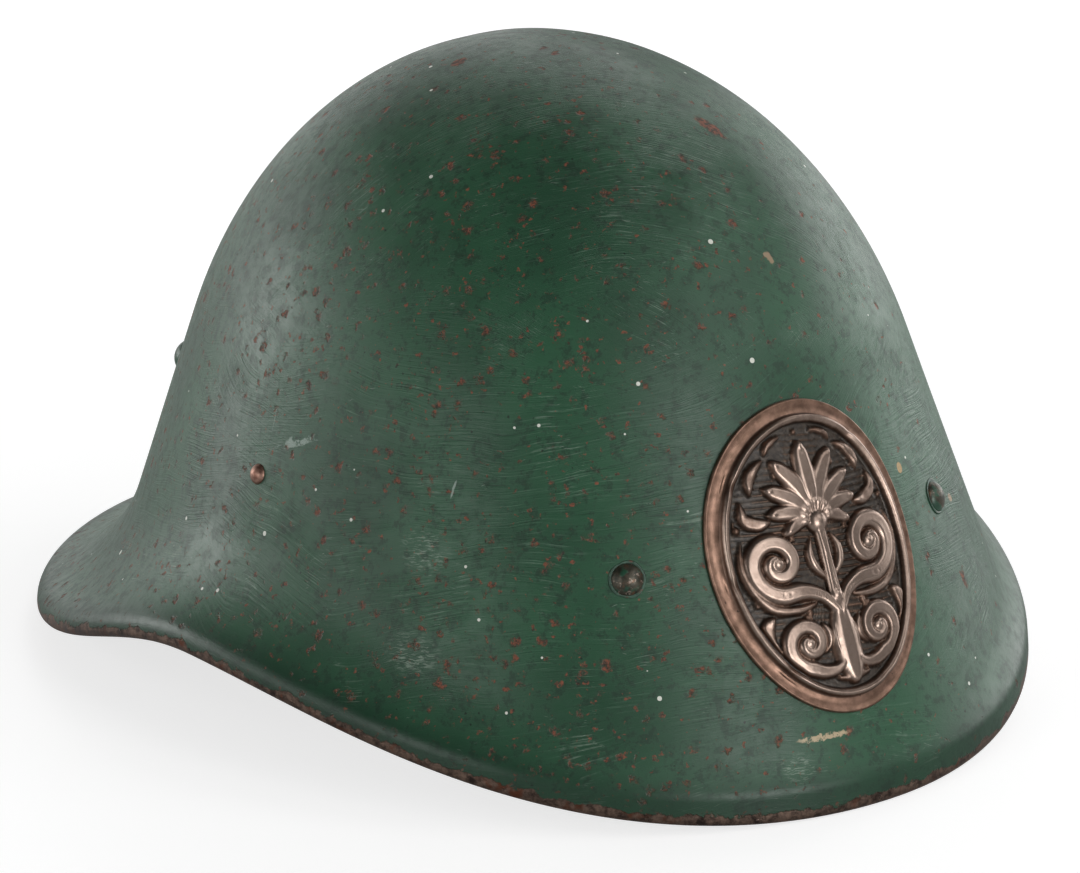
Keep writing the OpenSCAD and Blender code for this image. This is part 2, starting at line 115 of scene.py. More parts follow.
# The shell's half section at an angle: its leans, radii and the points where they meet
def section(t):
    c = blend(t, *LEAN)
    f = np.maximum(blend(t, *FLARE, 2.0, 1.42), c + 1)
    r = blend(t, *SWEEP_R, 2.0, 1.42)
    e = np.where(cosd(t) >= 0, FRONT, REAR)
    corner = np.where(cosd(t) >= 0, 0.01, 0.03) * sind(2 * t) ** 2
    reach = (1 + corner) / np.sqrt((cosd(t) / e) ** 2 + (sind(t) / SIDE) ** 2)
    bead = (reach - BEAD_R, blend(t, 0.0, ARCH, 0.0, 2.5, 5.85) + BEAD_R)
    edge = (bead[0] + BEAD_R * cosd(DROP), bead[1] + BEAD_R * sind(DROP))
    band = blend(t, *BAND)
    drop = (edge[0] - band * sind(DROP), edge[1] + band * cosd(DROP))
    lip = (drop[0] - LIP_R * (cosd(DROP) - cosd(f)), drop[1] - LIP_R * (sind(DROP) - sind(f)))
    foot = (lip[0] - r * (cosd(c) - cosd(f)), lip[1] - r * (sind(c) - sind(f)))
    tan = np.tan(np.radians(c))
    span = foot[0] + (foot[1] - MID) * tan
    a = np.sqrt(np.maximum(span**2 - (CROWN_B * tan) ** 2, 900))
    return c, f, r, a, bead, lip, foot, np.degrees(np.arctan2(a, CROWN_B * tan)), edge


# Point of the shell's outer face at an angle and height
def skin(t, z):
    c, _, r, a, _, _, foot, top, _ = section(t)
    knee = MID + CROWN_B * cosd(top)
    dome = a * np.sqrt(np.maximum(1 - ((z - MID) / CROWN_B) ** 2, 0))
    wall = foot[0] - (z - foot[1]) * np.tan(np.radians(c))
    s = np.clip(sind(c) + (foot[1] - z) / r, -1, 1)
    brim = foot[0] + r * (cosd(c) - np.sqrt(1 - s * s))
    rad = np.where(z >= knee, dome, np.where(z >= foot[1], wall, brim))
    return np.stack([rad * sind(t), DOME_Y - rad * cosd(t), z + 0 * rad], -1)


# The same point with its directions round, up and out of the shell
def skin_frame(t, z):
    t, z = np.broadcast_arrays(np.asarray(t, float), np.asarray(z, float))
    x = unit(skin(t + 0.3, z) - skin(t - 0.3, z))
    n = unit(np.cross(x, skin(t, z + 0.3) - skin(t, z - 0.3)))
    return skin(t, z), x, np.cross(n, x), n


def under(t, z, d):
    o, _, _, n = skin_frame(t, z)
    return o - np.asarray(d)[..., None] * n


def hoop_mid(t):
    return HOOP_Z - HOOP_RISE * cosd(t)


# Smooth waves that stand for the unevenness of hand-worked pieces
def waves(p, size, seed, count=7):
    rng = np.random.RandomState(seed)
    out = np.zeros(p.shape[:-1])
    for _ in range(count):
        k = unit(rng.normal(size=3)) * 2 * math.pi / (size * rng.uniform(0.7, 1.6))
        out += np.sin(p @ k + rng.uniform(0, 2 * math.pi))
    return out / count


def make(name, verts, faces):
    mesh = bpy.data.meshes.new(name)
    mesh.from_pydata((np.asarray(verts, float) * MM).tolist(), [], [list(map(int, f)) for f in faces])
    mesh.validate()
    bm = bmesh.new()
    bm.from_mesh(mesh)
    bmesh.ops.recalc_face_normals(bm, faces=bm.faces)
    bm.to_mesh(mesh)
    bm.free()
    mesh.polygons.foreach_set("use_smooth", [True] * len(mesh.polygons))
    ob = bpy.data.objects.new(name, mesh)
    bpy.context.scene.collection.objects.link(ob)
    return ob


def store(ob, name, values):
    values = np.asarray(values, np.float32)
    kind, key = ("FLOAT_VECTOR", "vector") if values.ndim == 2 else ("FLOAT", "value")
    ob.data.attributes.new(name, kind, "POINT").data.foreach_set(key, values.ravel())


# A solid in millimetres round, up and out of the shell, taken to one place on it
def seat(solid, t, z, move=(0, 0, 0), back=0.0, mirror=False):
    o, x, y, n = skin_frame(t, z)
    out = (np.asarray(solid[0], float) + move) @ np.stack([x, y, n]) + o + np.array([0, back, 0])
    return out * [-1, 1, 1] if mirror else out, solid[1]


# Evenly spaced angles of a full turn
def turn_angles(count):
    return np.linspace(0, 2 * math.pi, count, endpoint=False)


# Quads of a grid of rows and columns, closed or open either way
def weave(rows, cols, loop_rows=False, loop_cols=False, start=0):
    i, j = np.meshgrid(np.arange(rows if loop_rows else rows - 1),
                       np.arange(cols if loop_cols else cols - 1), indexing="ij")
    i, j = i.ravel(), j.ravel()
    a, b = i * cols, (i + 1) % rows * cols
    k = (j + 1) % cols
    return (start + np.stack([a + j, a + k, b + k, b + j], 1)).tolist()


# Faces of columns of points round an axis, closed at both ends by the two points that follow them
def closed_round(count, n):
    faces, peak = weave(count, n, True), count * n
    for i in range(count):
        j = (i + 1) % count
        faces += [[peak, i * n, j * n], [peak + 1, j * n + n - 1, i * n + n - 1]]
    return faces


# Rings of points as a solid with a flat face at each end
def capped(rings):
    m, count = len(rings), len(rings[0])
    faces = weave(m, count, False, True)
    return np.concatenate(rings), faces + [list(range(count)), list(range((m - 1) * count, m * count))]


# Solid along a path, with a flat section whose corners are rounded by the power
def sweep(path, side, up, half_w, half_t, power=0.4, count=16, loop=False, ends=3):
    path = np.asarray(path, float)
    n = len(path)
    side, up = np.broadcast_to(side, (n, 3)), np.broadcast_to(up, (n, 3))
    half_w, half_t = np.broadcast_to(half_w, n), np.broadcast_to(half_t, n)
    a = turn_angles(count) + math.pi / count
    cx, cy = (np.sign(q) * np.abs(q) ** power for q in (np.cos(a), np.sin(a)))
    rings = [path[k] + np.outer(cx * half_w[k], side[k]) + np.outer(cy * half_t[k], up[k]) for k in range(n)]
    if loop:
        return np.concatenate(rings), weave(n, count, True, True)
    first, last = [], []
    for k in range(ends):
        q = (k + 1) / (ends + 1) * math.pi / 2
        for out, at, to in ((first, 0, 1), (last, -1, -2)):
            ring, centre, r = rings[at], path[at], min(half_w[at], half_t[at])
            far = np.maximum(np.linalg.norm(ring - centre, axis=1), 1e-9)
            keep = 1 - r * (1 - math.cos(q)) / far
            out.append(centre + (ring - centre) * keep[:, None] + unit(centre - path[to]) * r * math.sin(q))
    return capped(first[::-1] + rings + last)


# Solid of revolution about the local outward axis
def revolve(profile, count=40):
    a = turn_angles(count)
    return capped([np.stack([r * np.cos(a), r * np.sin(a), 0 * a + h], 1) for r, h in profile])


# Profile of a domed head with a short upright foot
def dome(r, rise, count=9, foot=0.35):
    ball = (r * r + rise * rise) / (2 * rise)
    out = [(r - 0.25, -foot), (r, -foot + 0.2)]
    for k in range(count):
        q = (1 - k / count) * math.asin(min(r / ball, 1))
        out.append((ball * math.sin(q), rise - ball + ball * math.cos(q)))
    return out + [(0.15, rise)]


def join_parts(parts):
    verts, faces, base = [], [], 0
    for v, f in parts:
        verts.append(np.asarray(v, float))
        faces += [[base + int(q) for q in g] for g in f]
        base += len(v)
    return np.concatenate(verts), faces


def even_path(points, count):
    p = np.asarray(points, float)
    d = np.r_[0, np.cumsum(np.linalg.norm(np.diff(p, axis=0), axis=1))]
    s = np.linspace(0, d[-1], count)
    return np.stack([np.interp(s, d, p[:, k]) for k in range(p.shape[1])], 1)


# Polyline whose corners are rounded by repeated averaging
def soften(points, count, times):
    p = even_path(points, count)
    for _ in range(times):
        p[1:-1] = (p[:-2] + 2 * p[1:-1] + p[2:]) / 4
    return p


# Directions along an open path, and along a closed one
def along(line):
    return unit(np.gradient(line, axis=0))


def around(loop):
    return unit(np.roll(loop, -1, 0) - np.roll(loop, 1, 0))


def srgb(r, g, b):
    return tuple(((v / 255 + 0.055) / 1.055) ** 2.4 if v > 10 else v / 255 / 12.92 for v in (r, g, b))


# Shader building, with colours as sRGB from 0 to 255
class Nodes:
    def __init__(self, name):
        self.mat = bpy.data.materials.new(name)
        self.mat.use_nodes = True
        self.tree = self.mat.node_tree
        self.tree.nodes.clear()
        self.out = self.tree.nodes.new("ShaderNodeOutputMaterial")
        self.shader = self.tree.nodes.new("ShaderNodeBsdfPrincipled")
        self.tree.links.new(self.shader.outputs[0], self.out.inputs[0])
        self.place = self.vector("SCALE", self.add("TexCoord", out=3), {3: 1.0 / MM})

    def put(self, socket, value):
        if isinstance(value, bpy.types.NodeSocket):
            self.tree.links.new(value, socket)
        elif value is not None:
            if hasattr(socket.default_value, "__len__"):
                value = tuple(value) + (1.0,) * (len(socket.default_value) - len(value))
            socket.default_value = value

    def add(self, kind, inputs=None, out=0, **props):
        node = self.tree.nodes.new("ShaderNode" + kind)
        for k, v in props.items():
            setattr(node, k, v)
        for k, v in (inputs or {}).items():
            self.put(node.inputs[k], v)
        return node.outputs[out]

    def math(self, op, *values):
        return self.add("Math", dict(enumerate(values)), operation=op)

    def vector(self, op, a, inputs, out=0):
        return self.add("VectorMath", {0: a, **inputs}, out=out, operation=op)

    def mul(self, out, *values):
        for v in values:
            out = self.math("MULTIPLY", out, v)
        return out

    def top(self, out, *values):
        for v in values:
            out = self.math("MAXIMUM", out, v)
        return out

    def ramp(self, x, lo, hi, a=0.0, b=1.0):
        return self.add("MapRange", {0: x, 1: lo, 2: hi, 3: a, 4: b}, interpolation_type="SMOOTHSTEP")

    def mix(self, fac, *colours):
        a, b = (srgb(*c) if isinstance(c, tuple) else c for c in colours)
        return self.add("Mix", {0: fac, 6: a, 7: b}, out=2, data_type="RGBA")

    def mixf(self, fac, a, b):
        return self.add("Mix", {0: fac, 2: a, 3: b})

    # Two colours by where a value lies between two others
    def tones(self, x, lo, hi, dark, light):
        return self.mix(self.ramp(x, lo, hi), dark, light)

    # Colours laid over each other, each with its mask and its share
    def lay(self, base, *layers):
        for mask, share, colour in layers:
            base = self.mix(mask if share == 1 else self.mul(mask, share), base, colour)
        return base

    # Noise whose features are about so many millimetres across
    def noise(self, size, detail=2.0, rough=0.5, vector=None, out=0, shift=None):
        vector = vector or self.place
        if shift is not None:
            vector = self.vector("ADD", vector, {1: shift})
        return self.add("TexNoise", {"Vector": vector, "Scale": 1.0 / size, "Detail": detail,
                                     "Roughness": rough}, out=out)

    # Patches of noise: size, detail, roughness and shift, then where they begin and are full
    def patch(self, size, detail, rough, shift, lo, hi, a=0.0, b=1.0):
        return self.ramp(self.noise(size, detail, rough, shift=shift), lo, hi, a, b)

    def read(self, name, out=2):
        return self.add("Attribute", out=out, attribute_name=name)

    def bump(self, height, distance, normal=None):
        return self.add("Bump", {"Height": height, "Distance": distance * MM, "Strength": 1.0,
                                 "Normal": normal})

    # The place moved about by noise, for ragged outlines
    def warped(self, amount, size, vector=None):
        vector = vector or self.place
        push = self.vector("SUBTRACT", self.noise(size, 2.0, 0.6, vector, out=1), {1: (0.5, 0.5, 0.5)})
        return self.vector("MULTIPLY_ADD", push, {1: (amount, amount, amount), 2: vector})

    # A vector turned, moved and drawn out along its own axes
    def turned(self, vector, at, turn, size):
        return self.add("Mapping", {"Vector": vector, "Location": at, "Scale": size,
                                    "Rotation": [math.radians(a) for a in turn]}, vector_type="TEXTURE")

    # Fine lines: noise drawn out along one or two axes
    def streaks(self, vector, turn, size, shift=(0, 0, 0)):
        return self.noise(1.0, 3.0, 0.6, self.turned(vector, shift, turn, size))

    # A ragged mark at one place, with half sizes along its own axes
    def mark(self, at, size, vector=None, turn=(0, 0, 0), edge=0.35):
        far = self.vector("LENGTH", self.turned(vector or self.place, at, turn, size), {}, out=1)
        return self.ramp(far, 1.0 - edge, 1.0, 1.0, 0.0)

    # Cells of one size: distance from each cell's point, and two numbers of its own
    def cells(self, vector, cell):
        tex = self.add("TexVoronoi", {"Vector": vector, "Scale": 1.0 / cell}).node
        parts = self.add("SeparateColor", {0: tex.outputs["Color"]}).node
        return cell, tex.outputs["Distance"], parts.outputs[0], self.math("POWER", parts.outputs[1], 2.5)

    # Small spots, at most one in each cell: size from low to high, a share of the cells
    def spots(self, cells, share, low, high, edge=0.3):
        cell, away, luck, grow = cells
        radius = self.math("MULTIPLY_ADD", grow, (high - low) / cell, low / cell)
        spot = self.ramp(self.math("SUBTRACT", radius, away), 0.0, edge * low / cell)
        return self.mul(spot, self.math("GREATER_THAN", share, luck))

    def specks(self, vector, cell, share, low, high, edge=0.3):
        return self.spots(self.cells(vector, cell), share, low, high, edge)

    # Nought on the borders of cells of one size, and one inside them
    def cracks(self, vector, cell, wide):
        away = self.add("TexVoronoi", {"Vector": vector, "Scale": 1.0 / cell}, feature="DISTANCE_TO_EDGE")
        return self.ramp(away, 0.0, wide)

    def finish(self, colour, rough, normal, **sockets):
        sockets.update(Base_Color=colour, Roughness=rough, Normal=normal)
        for k, v in sockets.items():
            self.put(self.shader.inputs[k.replace("_", " ")], v)
        return self.mat


# A solid as a piece of the scene, with its material, body and the CAD node that it stands for
def piece(name, solid, mat, nodes=(), body="helmet"):
    return dress(make(name, *solid), mat, nodes, body)


def dress(ob, mat, nodes=(), body="helmet"):
    ob.data.materials.append(mat)
    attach(ob, body)
    if nodes:
        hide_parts(*nodes)
    return ob


# Worn green paint over brown steel
def shell_paint():
    s = Nodes("green_paint")
    flat, rim, inner = s.read("flat", out=1), s.read("rim"), s.read("inner")
    outside = s.math("SUBTRACT", 1.0, inner)
    across, height = (s.add("SeparateXYZ", {0: s.place}, out=k) for k in (0, 2))
    # Brush lines: long thin grooves that bend, in patches that run in different ways
    curved, bent = s.warped(20.0, 90.0, flat), s.warped(16.0, 60.0)
    which = s.noise(80.0, 1.0, 0.5, shift=(11, 4, 60))
    high_line = s.mixf(s.ramp(which, 0.44, 0.56), s.streaks(curved, (0, 0, -28), (11, 0.38, 50)),
                       s.streaks(curved, (0, 0, -58), (9, 0.36, 50), (50, 9, 0)))
    low_line = s.mixf(s.ramp(which, 0.45, 0.55), s.streaks(bent, (-14, 4, 0), (19, 19, 0.38)),
                      s.streaks(bent, (9, -16, 0), (16, 16, 0.36), (50, 9, 3)))
    line = s.mixf(s.ramp(height, 96.0, 132.0), low_line, high_line)
    worn = s.noise(17.0, 4.0, 0.66, shift=(70, 8, 3))
    strength = s.mul(s.ramp(worn, 0.38, 0.60, 0.3, 1.0), s.ramp(rim, 4.0, 44.0, 0.2, 1.0))
    hair = s.mul(s.ramp(line, 0.58, 0.70), strength)
    deep = s.mul(s.ramp(line, 0.30, 0.42, 1.0, 0.0), strength)
    rubbed = s.mul(s.ramp(line, 0.52, 0.66), s.ramp(worn, 0.56, 0.68))
    nicks = s.streaks(s.warped(5.0, 9.0), (-24, 14, 0), (3.6, 3.6, 0.30), (7, 30, 0))
    nick = s.mul(s.ramp(nicks, 0.64, 0.74), s.ramp(worn, 0.50, 0.60))
    cloud = s.noise(42.0, 4.0, 0.6)
    mottle = s.noise(4.0, 4.0, 0.78, shift=(5, 9, 2))
    base = s.tones(cloud, 0.34, 0.68, (38, 72, 52), (46, 86, 62))
    base = s.lay(base, (s.ramp(mottle, 0.50, 0.64), 0.52, (22, 38, 30)), (hair, 0.36, (112, 142, 122)),
                 (deep, 0.5, (12, 28, 21)), (rubbed, 0.34, (142, 158, 144)), (nick, 0.45, (160, 172, 160)))
    # Freckles of rust, denser on the crown and on the wearer's right
    side = s.ramp(across, -112.0, 76.0, 0.95, 0.07)
    crown = s.ramp(height, 60.0, 165.0, 0.0, 0.14)
    share = s.mul(s.math("ADD", side, crown), s.patch(24.0, 2.0, 0.5, (31, 7, 70), 0.36, 0.6, 0.6, 1.3))
    torn = s.warped(3.8, 2.0)
    crumb = s.patch(1.3, 3.0, 0.75, (3, 8, 1), 0.38, 0.50)
    places = s.cells(torn, 4.4)
    freckle = s.mul(s.spots(places, share, 0.8, 1.75, 1.1), crumb, outside)
    stain = s.mul(s.spots(places, share, 1.2, 2.4, 1.5), outside)
    fine = s.mul(s.specks(torn, 2.3, s.mul(share, 1.2), 0.40, 0.95, 1.0), crumb, outside)
    pits = s.mul(s.specks(s.warped(0.8, 0.7), 2.2, 0.32, 0.16, 0.42, 0.9), outside)
    white = s.mul(s.specks(s.place, 9.5, 0.6, 0.40, 0.8), outside)
    # Single marks: chips, a scuff, scratches and drops of paint at their places
    jag = s.warped(3.4, 3.2)
    brown = s.top(s.mark((17.5, -57.9, 158.0), (2.2, 5.8, 6.0), jag, (0, 0, 34)),
                  s.mark((-21.5, 0.0, 169.0), (3.2, 2.4, 5.0), jag, (0, 0, 20)),
                  s.mark((55.3, -118.5, 41.0), (1.7, 3.0, 4.2), s.warped(6.0, 4.0)))
    tan = s.top(s.mark((11.2, -90.0, 131.0), (1.3, 2.2, 2.3), jag),
                s.mark((60.2, -106.4, 59.0), (1.4, 1.8, 1.5), jag))
    scuff = s.top(s.mark((-92.0, -21.0, 83.6), (4.0, 2.6, 1.5), jag),
                  s.mul(s.mark((-91.0, -22.4, 84.0), (5.0, 9.5, 1.1), jag, (-20, 0, 0)),
                        s.patch(1.4, 3.0, 0.7, (2, 2, 40), 0.44, 0.54)),
                  s.mark((-94.5, -12.5, 92.0), (4.0, 0.34, 9.0), s.warped(0.7, 5.0)),
                  s.mark((-78.6, -72.7, 82.4), (3.0, 0.36, 2.6), s.warped(0.9, 5.0)))
    scrapes = s.streaks(s.warped(1.4, 3.0), (-12, 6, 0), (2.4, 2.4, 0.36), (3, 3, 9))
    scraped = s.mul(s.top(s.mark((-22.2, -144.9, 13.6), (7.0, 7.0, 5.0), jag, edge=0.7),
                          s.mark((-85.8, -70.0, 66.0), (9.0, 9.0, 8.0), jag, edge=0.7),
                          s.mark((-93.9, -74.9, 41.0), (10.0, 10.0, 7.0), jag, edge=0.7)),
                    s.ramp(scrapes, 0.50, 0.64), outside)
    cream = s.mul(s.mark((-12.6, -144.2, 19.9), (9.0, 7.0, 0.8), s.warped(1.6, 1.6), (8, 0, 0), 0.3),
                  s.patch(1.0, 3.0, 0.7, (6, 6, 1), 0.36, 0.5), outside)
    ochre = s.mark((37.3, -112.4, 74.0), (1.4, 2.0, 1.8), edge=0.15)
    rusty = s.top(freckle, fine, s.mul(brown, outside))
    rust = s.mix(s.patch(1.1, 3.0, 0.7, None, 0.34, 0.66), (46, 37, 31), (138, 76, 54))
    # Painted shade: the upright band over the rolled edge, turned down away from the light, is painted darker
    # green
    turned = s.mul(s.ramp(rim, 4.0, 13.0, 1.0, 0.0), outside)
    # The last layer, turned, is painted shade on the upright band over the rolled edge
    base = s.lay(base, (stain, 0.5, (58, 48, 38)), (rusty, 0.85, rust), (pits, 0.8, (14, 20, 17)),
                 (tan, outside, (146, 126, 100)), (s.mul(scuff, outside), 0.7, (150, 166, 156)),
                 (scraped, 0.45, (150, 166, 150)), (cream, 0.85, (196, 174, 142)),
                 (ochre, outside, (158, 128, 76)), (white, 0.92, (222, 224, 214)), (turned, 0.55, (8, 34, 22)))
    # The roll itself is bare, with an uneven border and small chips over it
    worn_to = s.math("MULTIPLY_ADD", s.noise(7.0, 4.0, 0.7, shift=(8, 3, 44)), 7.0, -2.2)
    worn_edge = s.ramp(s.math("SUBTRACT", worn_to, rim), -0.2, 0.3)
    chips = s.mul(s.specks(s.warped(3.0, 2.2), 6.0, s.ramp(rim, 1.0, 9.0, 0.34, 0.0), 0.5, 1.7), outside)
    bare = s.top(worn_edge, s.mul(chips, 0.9))
    grit = s.noise(2.6, 5.0, 0.7, shift=(1, 60, 4))
    steel = s.lay(s.tones(grit, 0.3, 0.7, (46, 36, 32), (116, 96, 84)),
                  (s.patch(7.0, 3.0, 0.6, (70, 6, 4), 0.54, 0.7), 1, (92, 54, 38)))
    # The inside has thinner, duller paint with blooms of rust
    within = s.lay(s.tones(cloud, 0.35, 0.7, (52, 62, 48), (34, 44, 36)),
                   (s.patch(20.0, 5.0, 0.68, (60, 13, 9), 0.5, 0.64), 0.85,
                    s.tones(grit, 0.3, 0.7, (62, 38, 27), (122, 76, 48))))
    base = s.mix(bare, s.mix(inner, base, within), steel)
    rough = s.mixf(s.ramp(mottle, 0.36, 0.64), 0.38, 0.47)
    rough = s.math("MULTIPLY_ADD", hair, 0.12, rough)
    rough = s.mixf(s.top(rusty, s.mul(inner, 0.8)), rough, 0.66)
    rough = s.mixf(bare, rough, s.ramp(grit, 0.3, 0.7, 0.32, 0.56))
    relief_height = s.math("MULTIPLY_ADD", s.math("SUBTRACT", line, 0.5), s.mul(strength, outside),
                           s.mul(mottle, 0.25))
    sunk = s.mul(s.math("ADD", worn_edge, freckle), 0.5)
    return s.finish(base, rough, s.bump(s.math("SUBTRACT", relief_height, sunk), 0.22),
                    Metallic=s.mul(bare, 0.75), Specular_IOR_Level=0.4)


# Smooth high mesh of the shell, from the rolled edge to the crown, both sides
def build_shell():
    count, crown_n, wall_n, sweep_n, lip_n, band_n, roll_n = 320, 54, 20, 20, 8, 4, 14
    t = np.arange(count) * 360.0 / count
    c, f, r, a, bead, lip, foot, top, edge = section(t)
    cols, slope = [], []

    def straight(start, end, lean, steps):
        for k in range(1, steps + 1):
            cols.append(tuple(start[i] + (end[i] - start[i]) * k / steps for i in (0, 1)))
            slope.append(0 * t + lean)

    def bend(start, radius, lean, new_lean, steps):
        for k in range(1, steps + 1):
            p = lean + (new_lean - lean) * k / steps
            cols.append((start[0] + radius * (cosd(lean) - cosd(p)), start[1] + radius * (sind(lean) - sind(p))))
            slope.append(p)

    for k in range(1, crown_n + 1):
        p = top * k / crown_n
        cols.append((a * sind(p), MID + CROWN_B * cosd(p)))
        slope.append(np.degrees(np.arctan2(cosd(p) / CROWN_B, sind(p) / a)))
    straight(cols[-1], foot, c, wall_n)
    bend(foot, r, c, f, sweep_n)
    bend(lip, -LIP_R, f, DROP, lip_n)
    straight(cols[-1], edge, DROP, band_n)
    outer = np.stack([np.stack(q, -1) for q in cols], 1)
    slope = np.stack(slope, 1)
    first = np.stack([0 * t, 0 * t + CROWN], -1)[:, None]
    length = np.cumsum(np.linalg.norm(np.diff(np.concatenate([first, outer], 1), axis=1), axis=2), axis=1)
    # The edge rolls inwards until it meets the sheet's inner face
    last = DROP + math.degrees(math.acos((BEAD_R - SHEET) / BEAD_R)) - 360
    roll = []
    for k in range(1, roll_n + 1):
        p = DROP + (last - DROP) * k / roll_n
        roll.append(np.stack([bead[0] + BEAD_R * cosd(p), bead[1] + BEAD_R * sind(p)], -1))
    roll = np.stack(roll, 1)
    keep = [k for k in range(outer.shape[1] - 2, -1, -1) if k % 2 == 0 or k < 3]
    inner = outer[:, keep] - SHEET * np.stack([cosd(slope[:, keep]), sind(slope[:, keep])], -1)
    rim_out = length[:, -1:] - length
    steps = np.arange(1, roll_n + 1)[None] + 0 * t[:, None]
    rim_roll = -steps * BEAD_R * math.radians(abs(last - DROP)) / roll_n
    rz = np.concatenate([outer, roll, inner], 1)
    rim = np.concatenate([rim_out, rim_roll, rim_out[:, keep]], 1)
    inside = np.concatenate([0 * rim_out, 0 * rim_roll, 1 + 0 * rim_out[:, keep]], 1)
    run = np.concatenate([length, length[:, -1:] - rim_roll, length[:, keep]], 1)
    n = rz.shape[1]
    tt = t[:, None] + 0 * rz[..., 0]
    verts = np.stack([rz[..., 0] * sind(tt), DOME_Y - rz[..., 0] * cosd(tt), rz[..., 1]], -1)
    # Slight unevenness of the pressed sheet, only inwards, none at the edge
    lean = np.concatenate([slope, 0 * rim_roll, slope[:, keep]], 1)
    out = np.stack([cosd(lean) * sind(tt), -cosd(lean) * cosd(tt), sind(lean)], -1)
    fade = np.clip((rim - DENT_FROM) / (DENT_FULL - DENT_FROM), 0, 1)
    dents = sum(0.5 * (1 + waves(verts, size, seed)) * depth for size, seed, depth in DENTS)
    verts = verts - out * (dents * fade)[..., None]
    flat = np.stack([run * sind(tt), -run * cosd(tt), 0 * run], -1)
    peaks = [[0, DOME_Y, CROWN - 0.15], [0, DOME_Y, CROWN - SHEET - 0.15]]
    ob = make("shell_skin", np.concatenate([verts.reshape(-1, 3), peaks]), closed_round(count, n))
    store(ob, "rim", np.r_[rim.ravel(), [220.0, 220.0]])
    store(ob, "inner", np.r_[inside.ravel(), [0.0, 1.0]])
    store(ob, "flat", np.concatenate([flat.reshape(-1, 3), np.zeros((2, 3))]))
    dress(ob, shell_paint(), ("shell",))


# Ornament of the badge in its own millimetres, u to the right and v up
def spiral(cx, cy, r0, r1, start, turns, count):
    k = np.linspace(0, 1, count)
    a = np.radians(start) + k * turns * 2 * math.pi
    r = r0 + (r1 - r0) * k ** 0.85
    return np.stack([cx + r * np.cos(a), cy + r * np.sin(a)], 1)


# Smooth curve through the points
def curve(points, count=40):
    p = np.asarray(points, float)
    out = []
    for q in np.linspace(0, len(p) - 1, count):
        i = min(int(q), len(p) - 2)
        w = q - i
        p0, p1, p2, p3 = p[max(i - 1, 0)], p[i], p[i + 1], p[min(i + 2, len(p) - 1)]
        out.append(0.5 * (2 * p1 + (p2 - p0) * w + (2 * p0 - 5 * p1 + 4 * p2 - p3) * w**2
                          + (3 * p1 - 3 * p2 + p3 - p0) * w**3))
    return np.asarray(out)


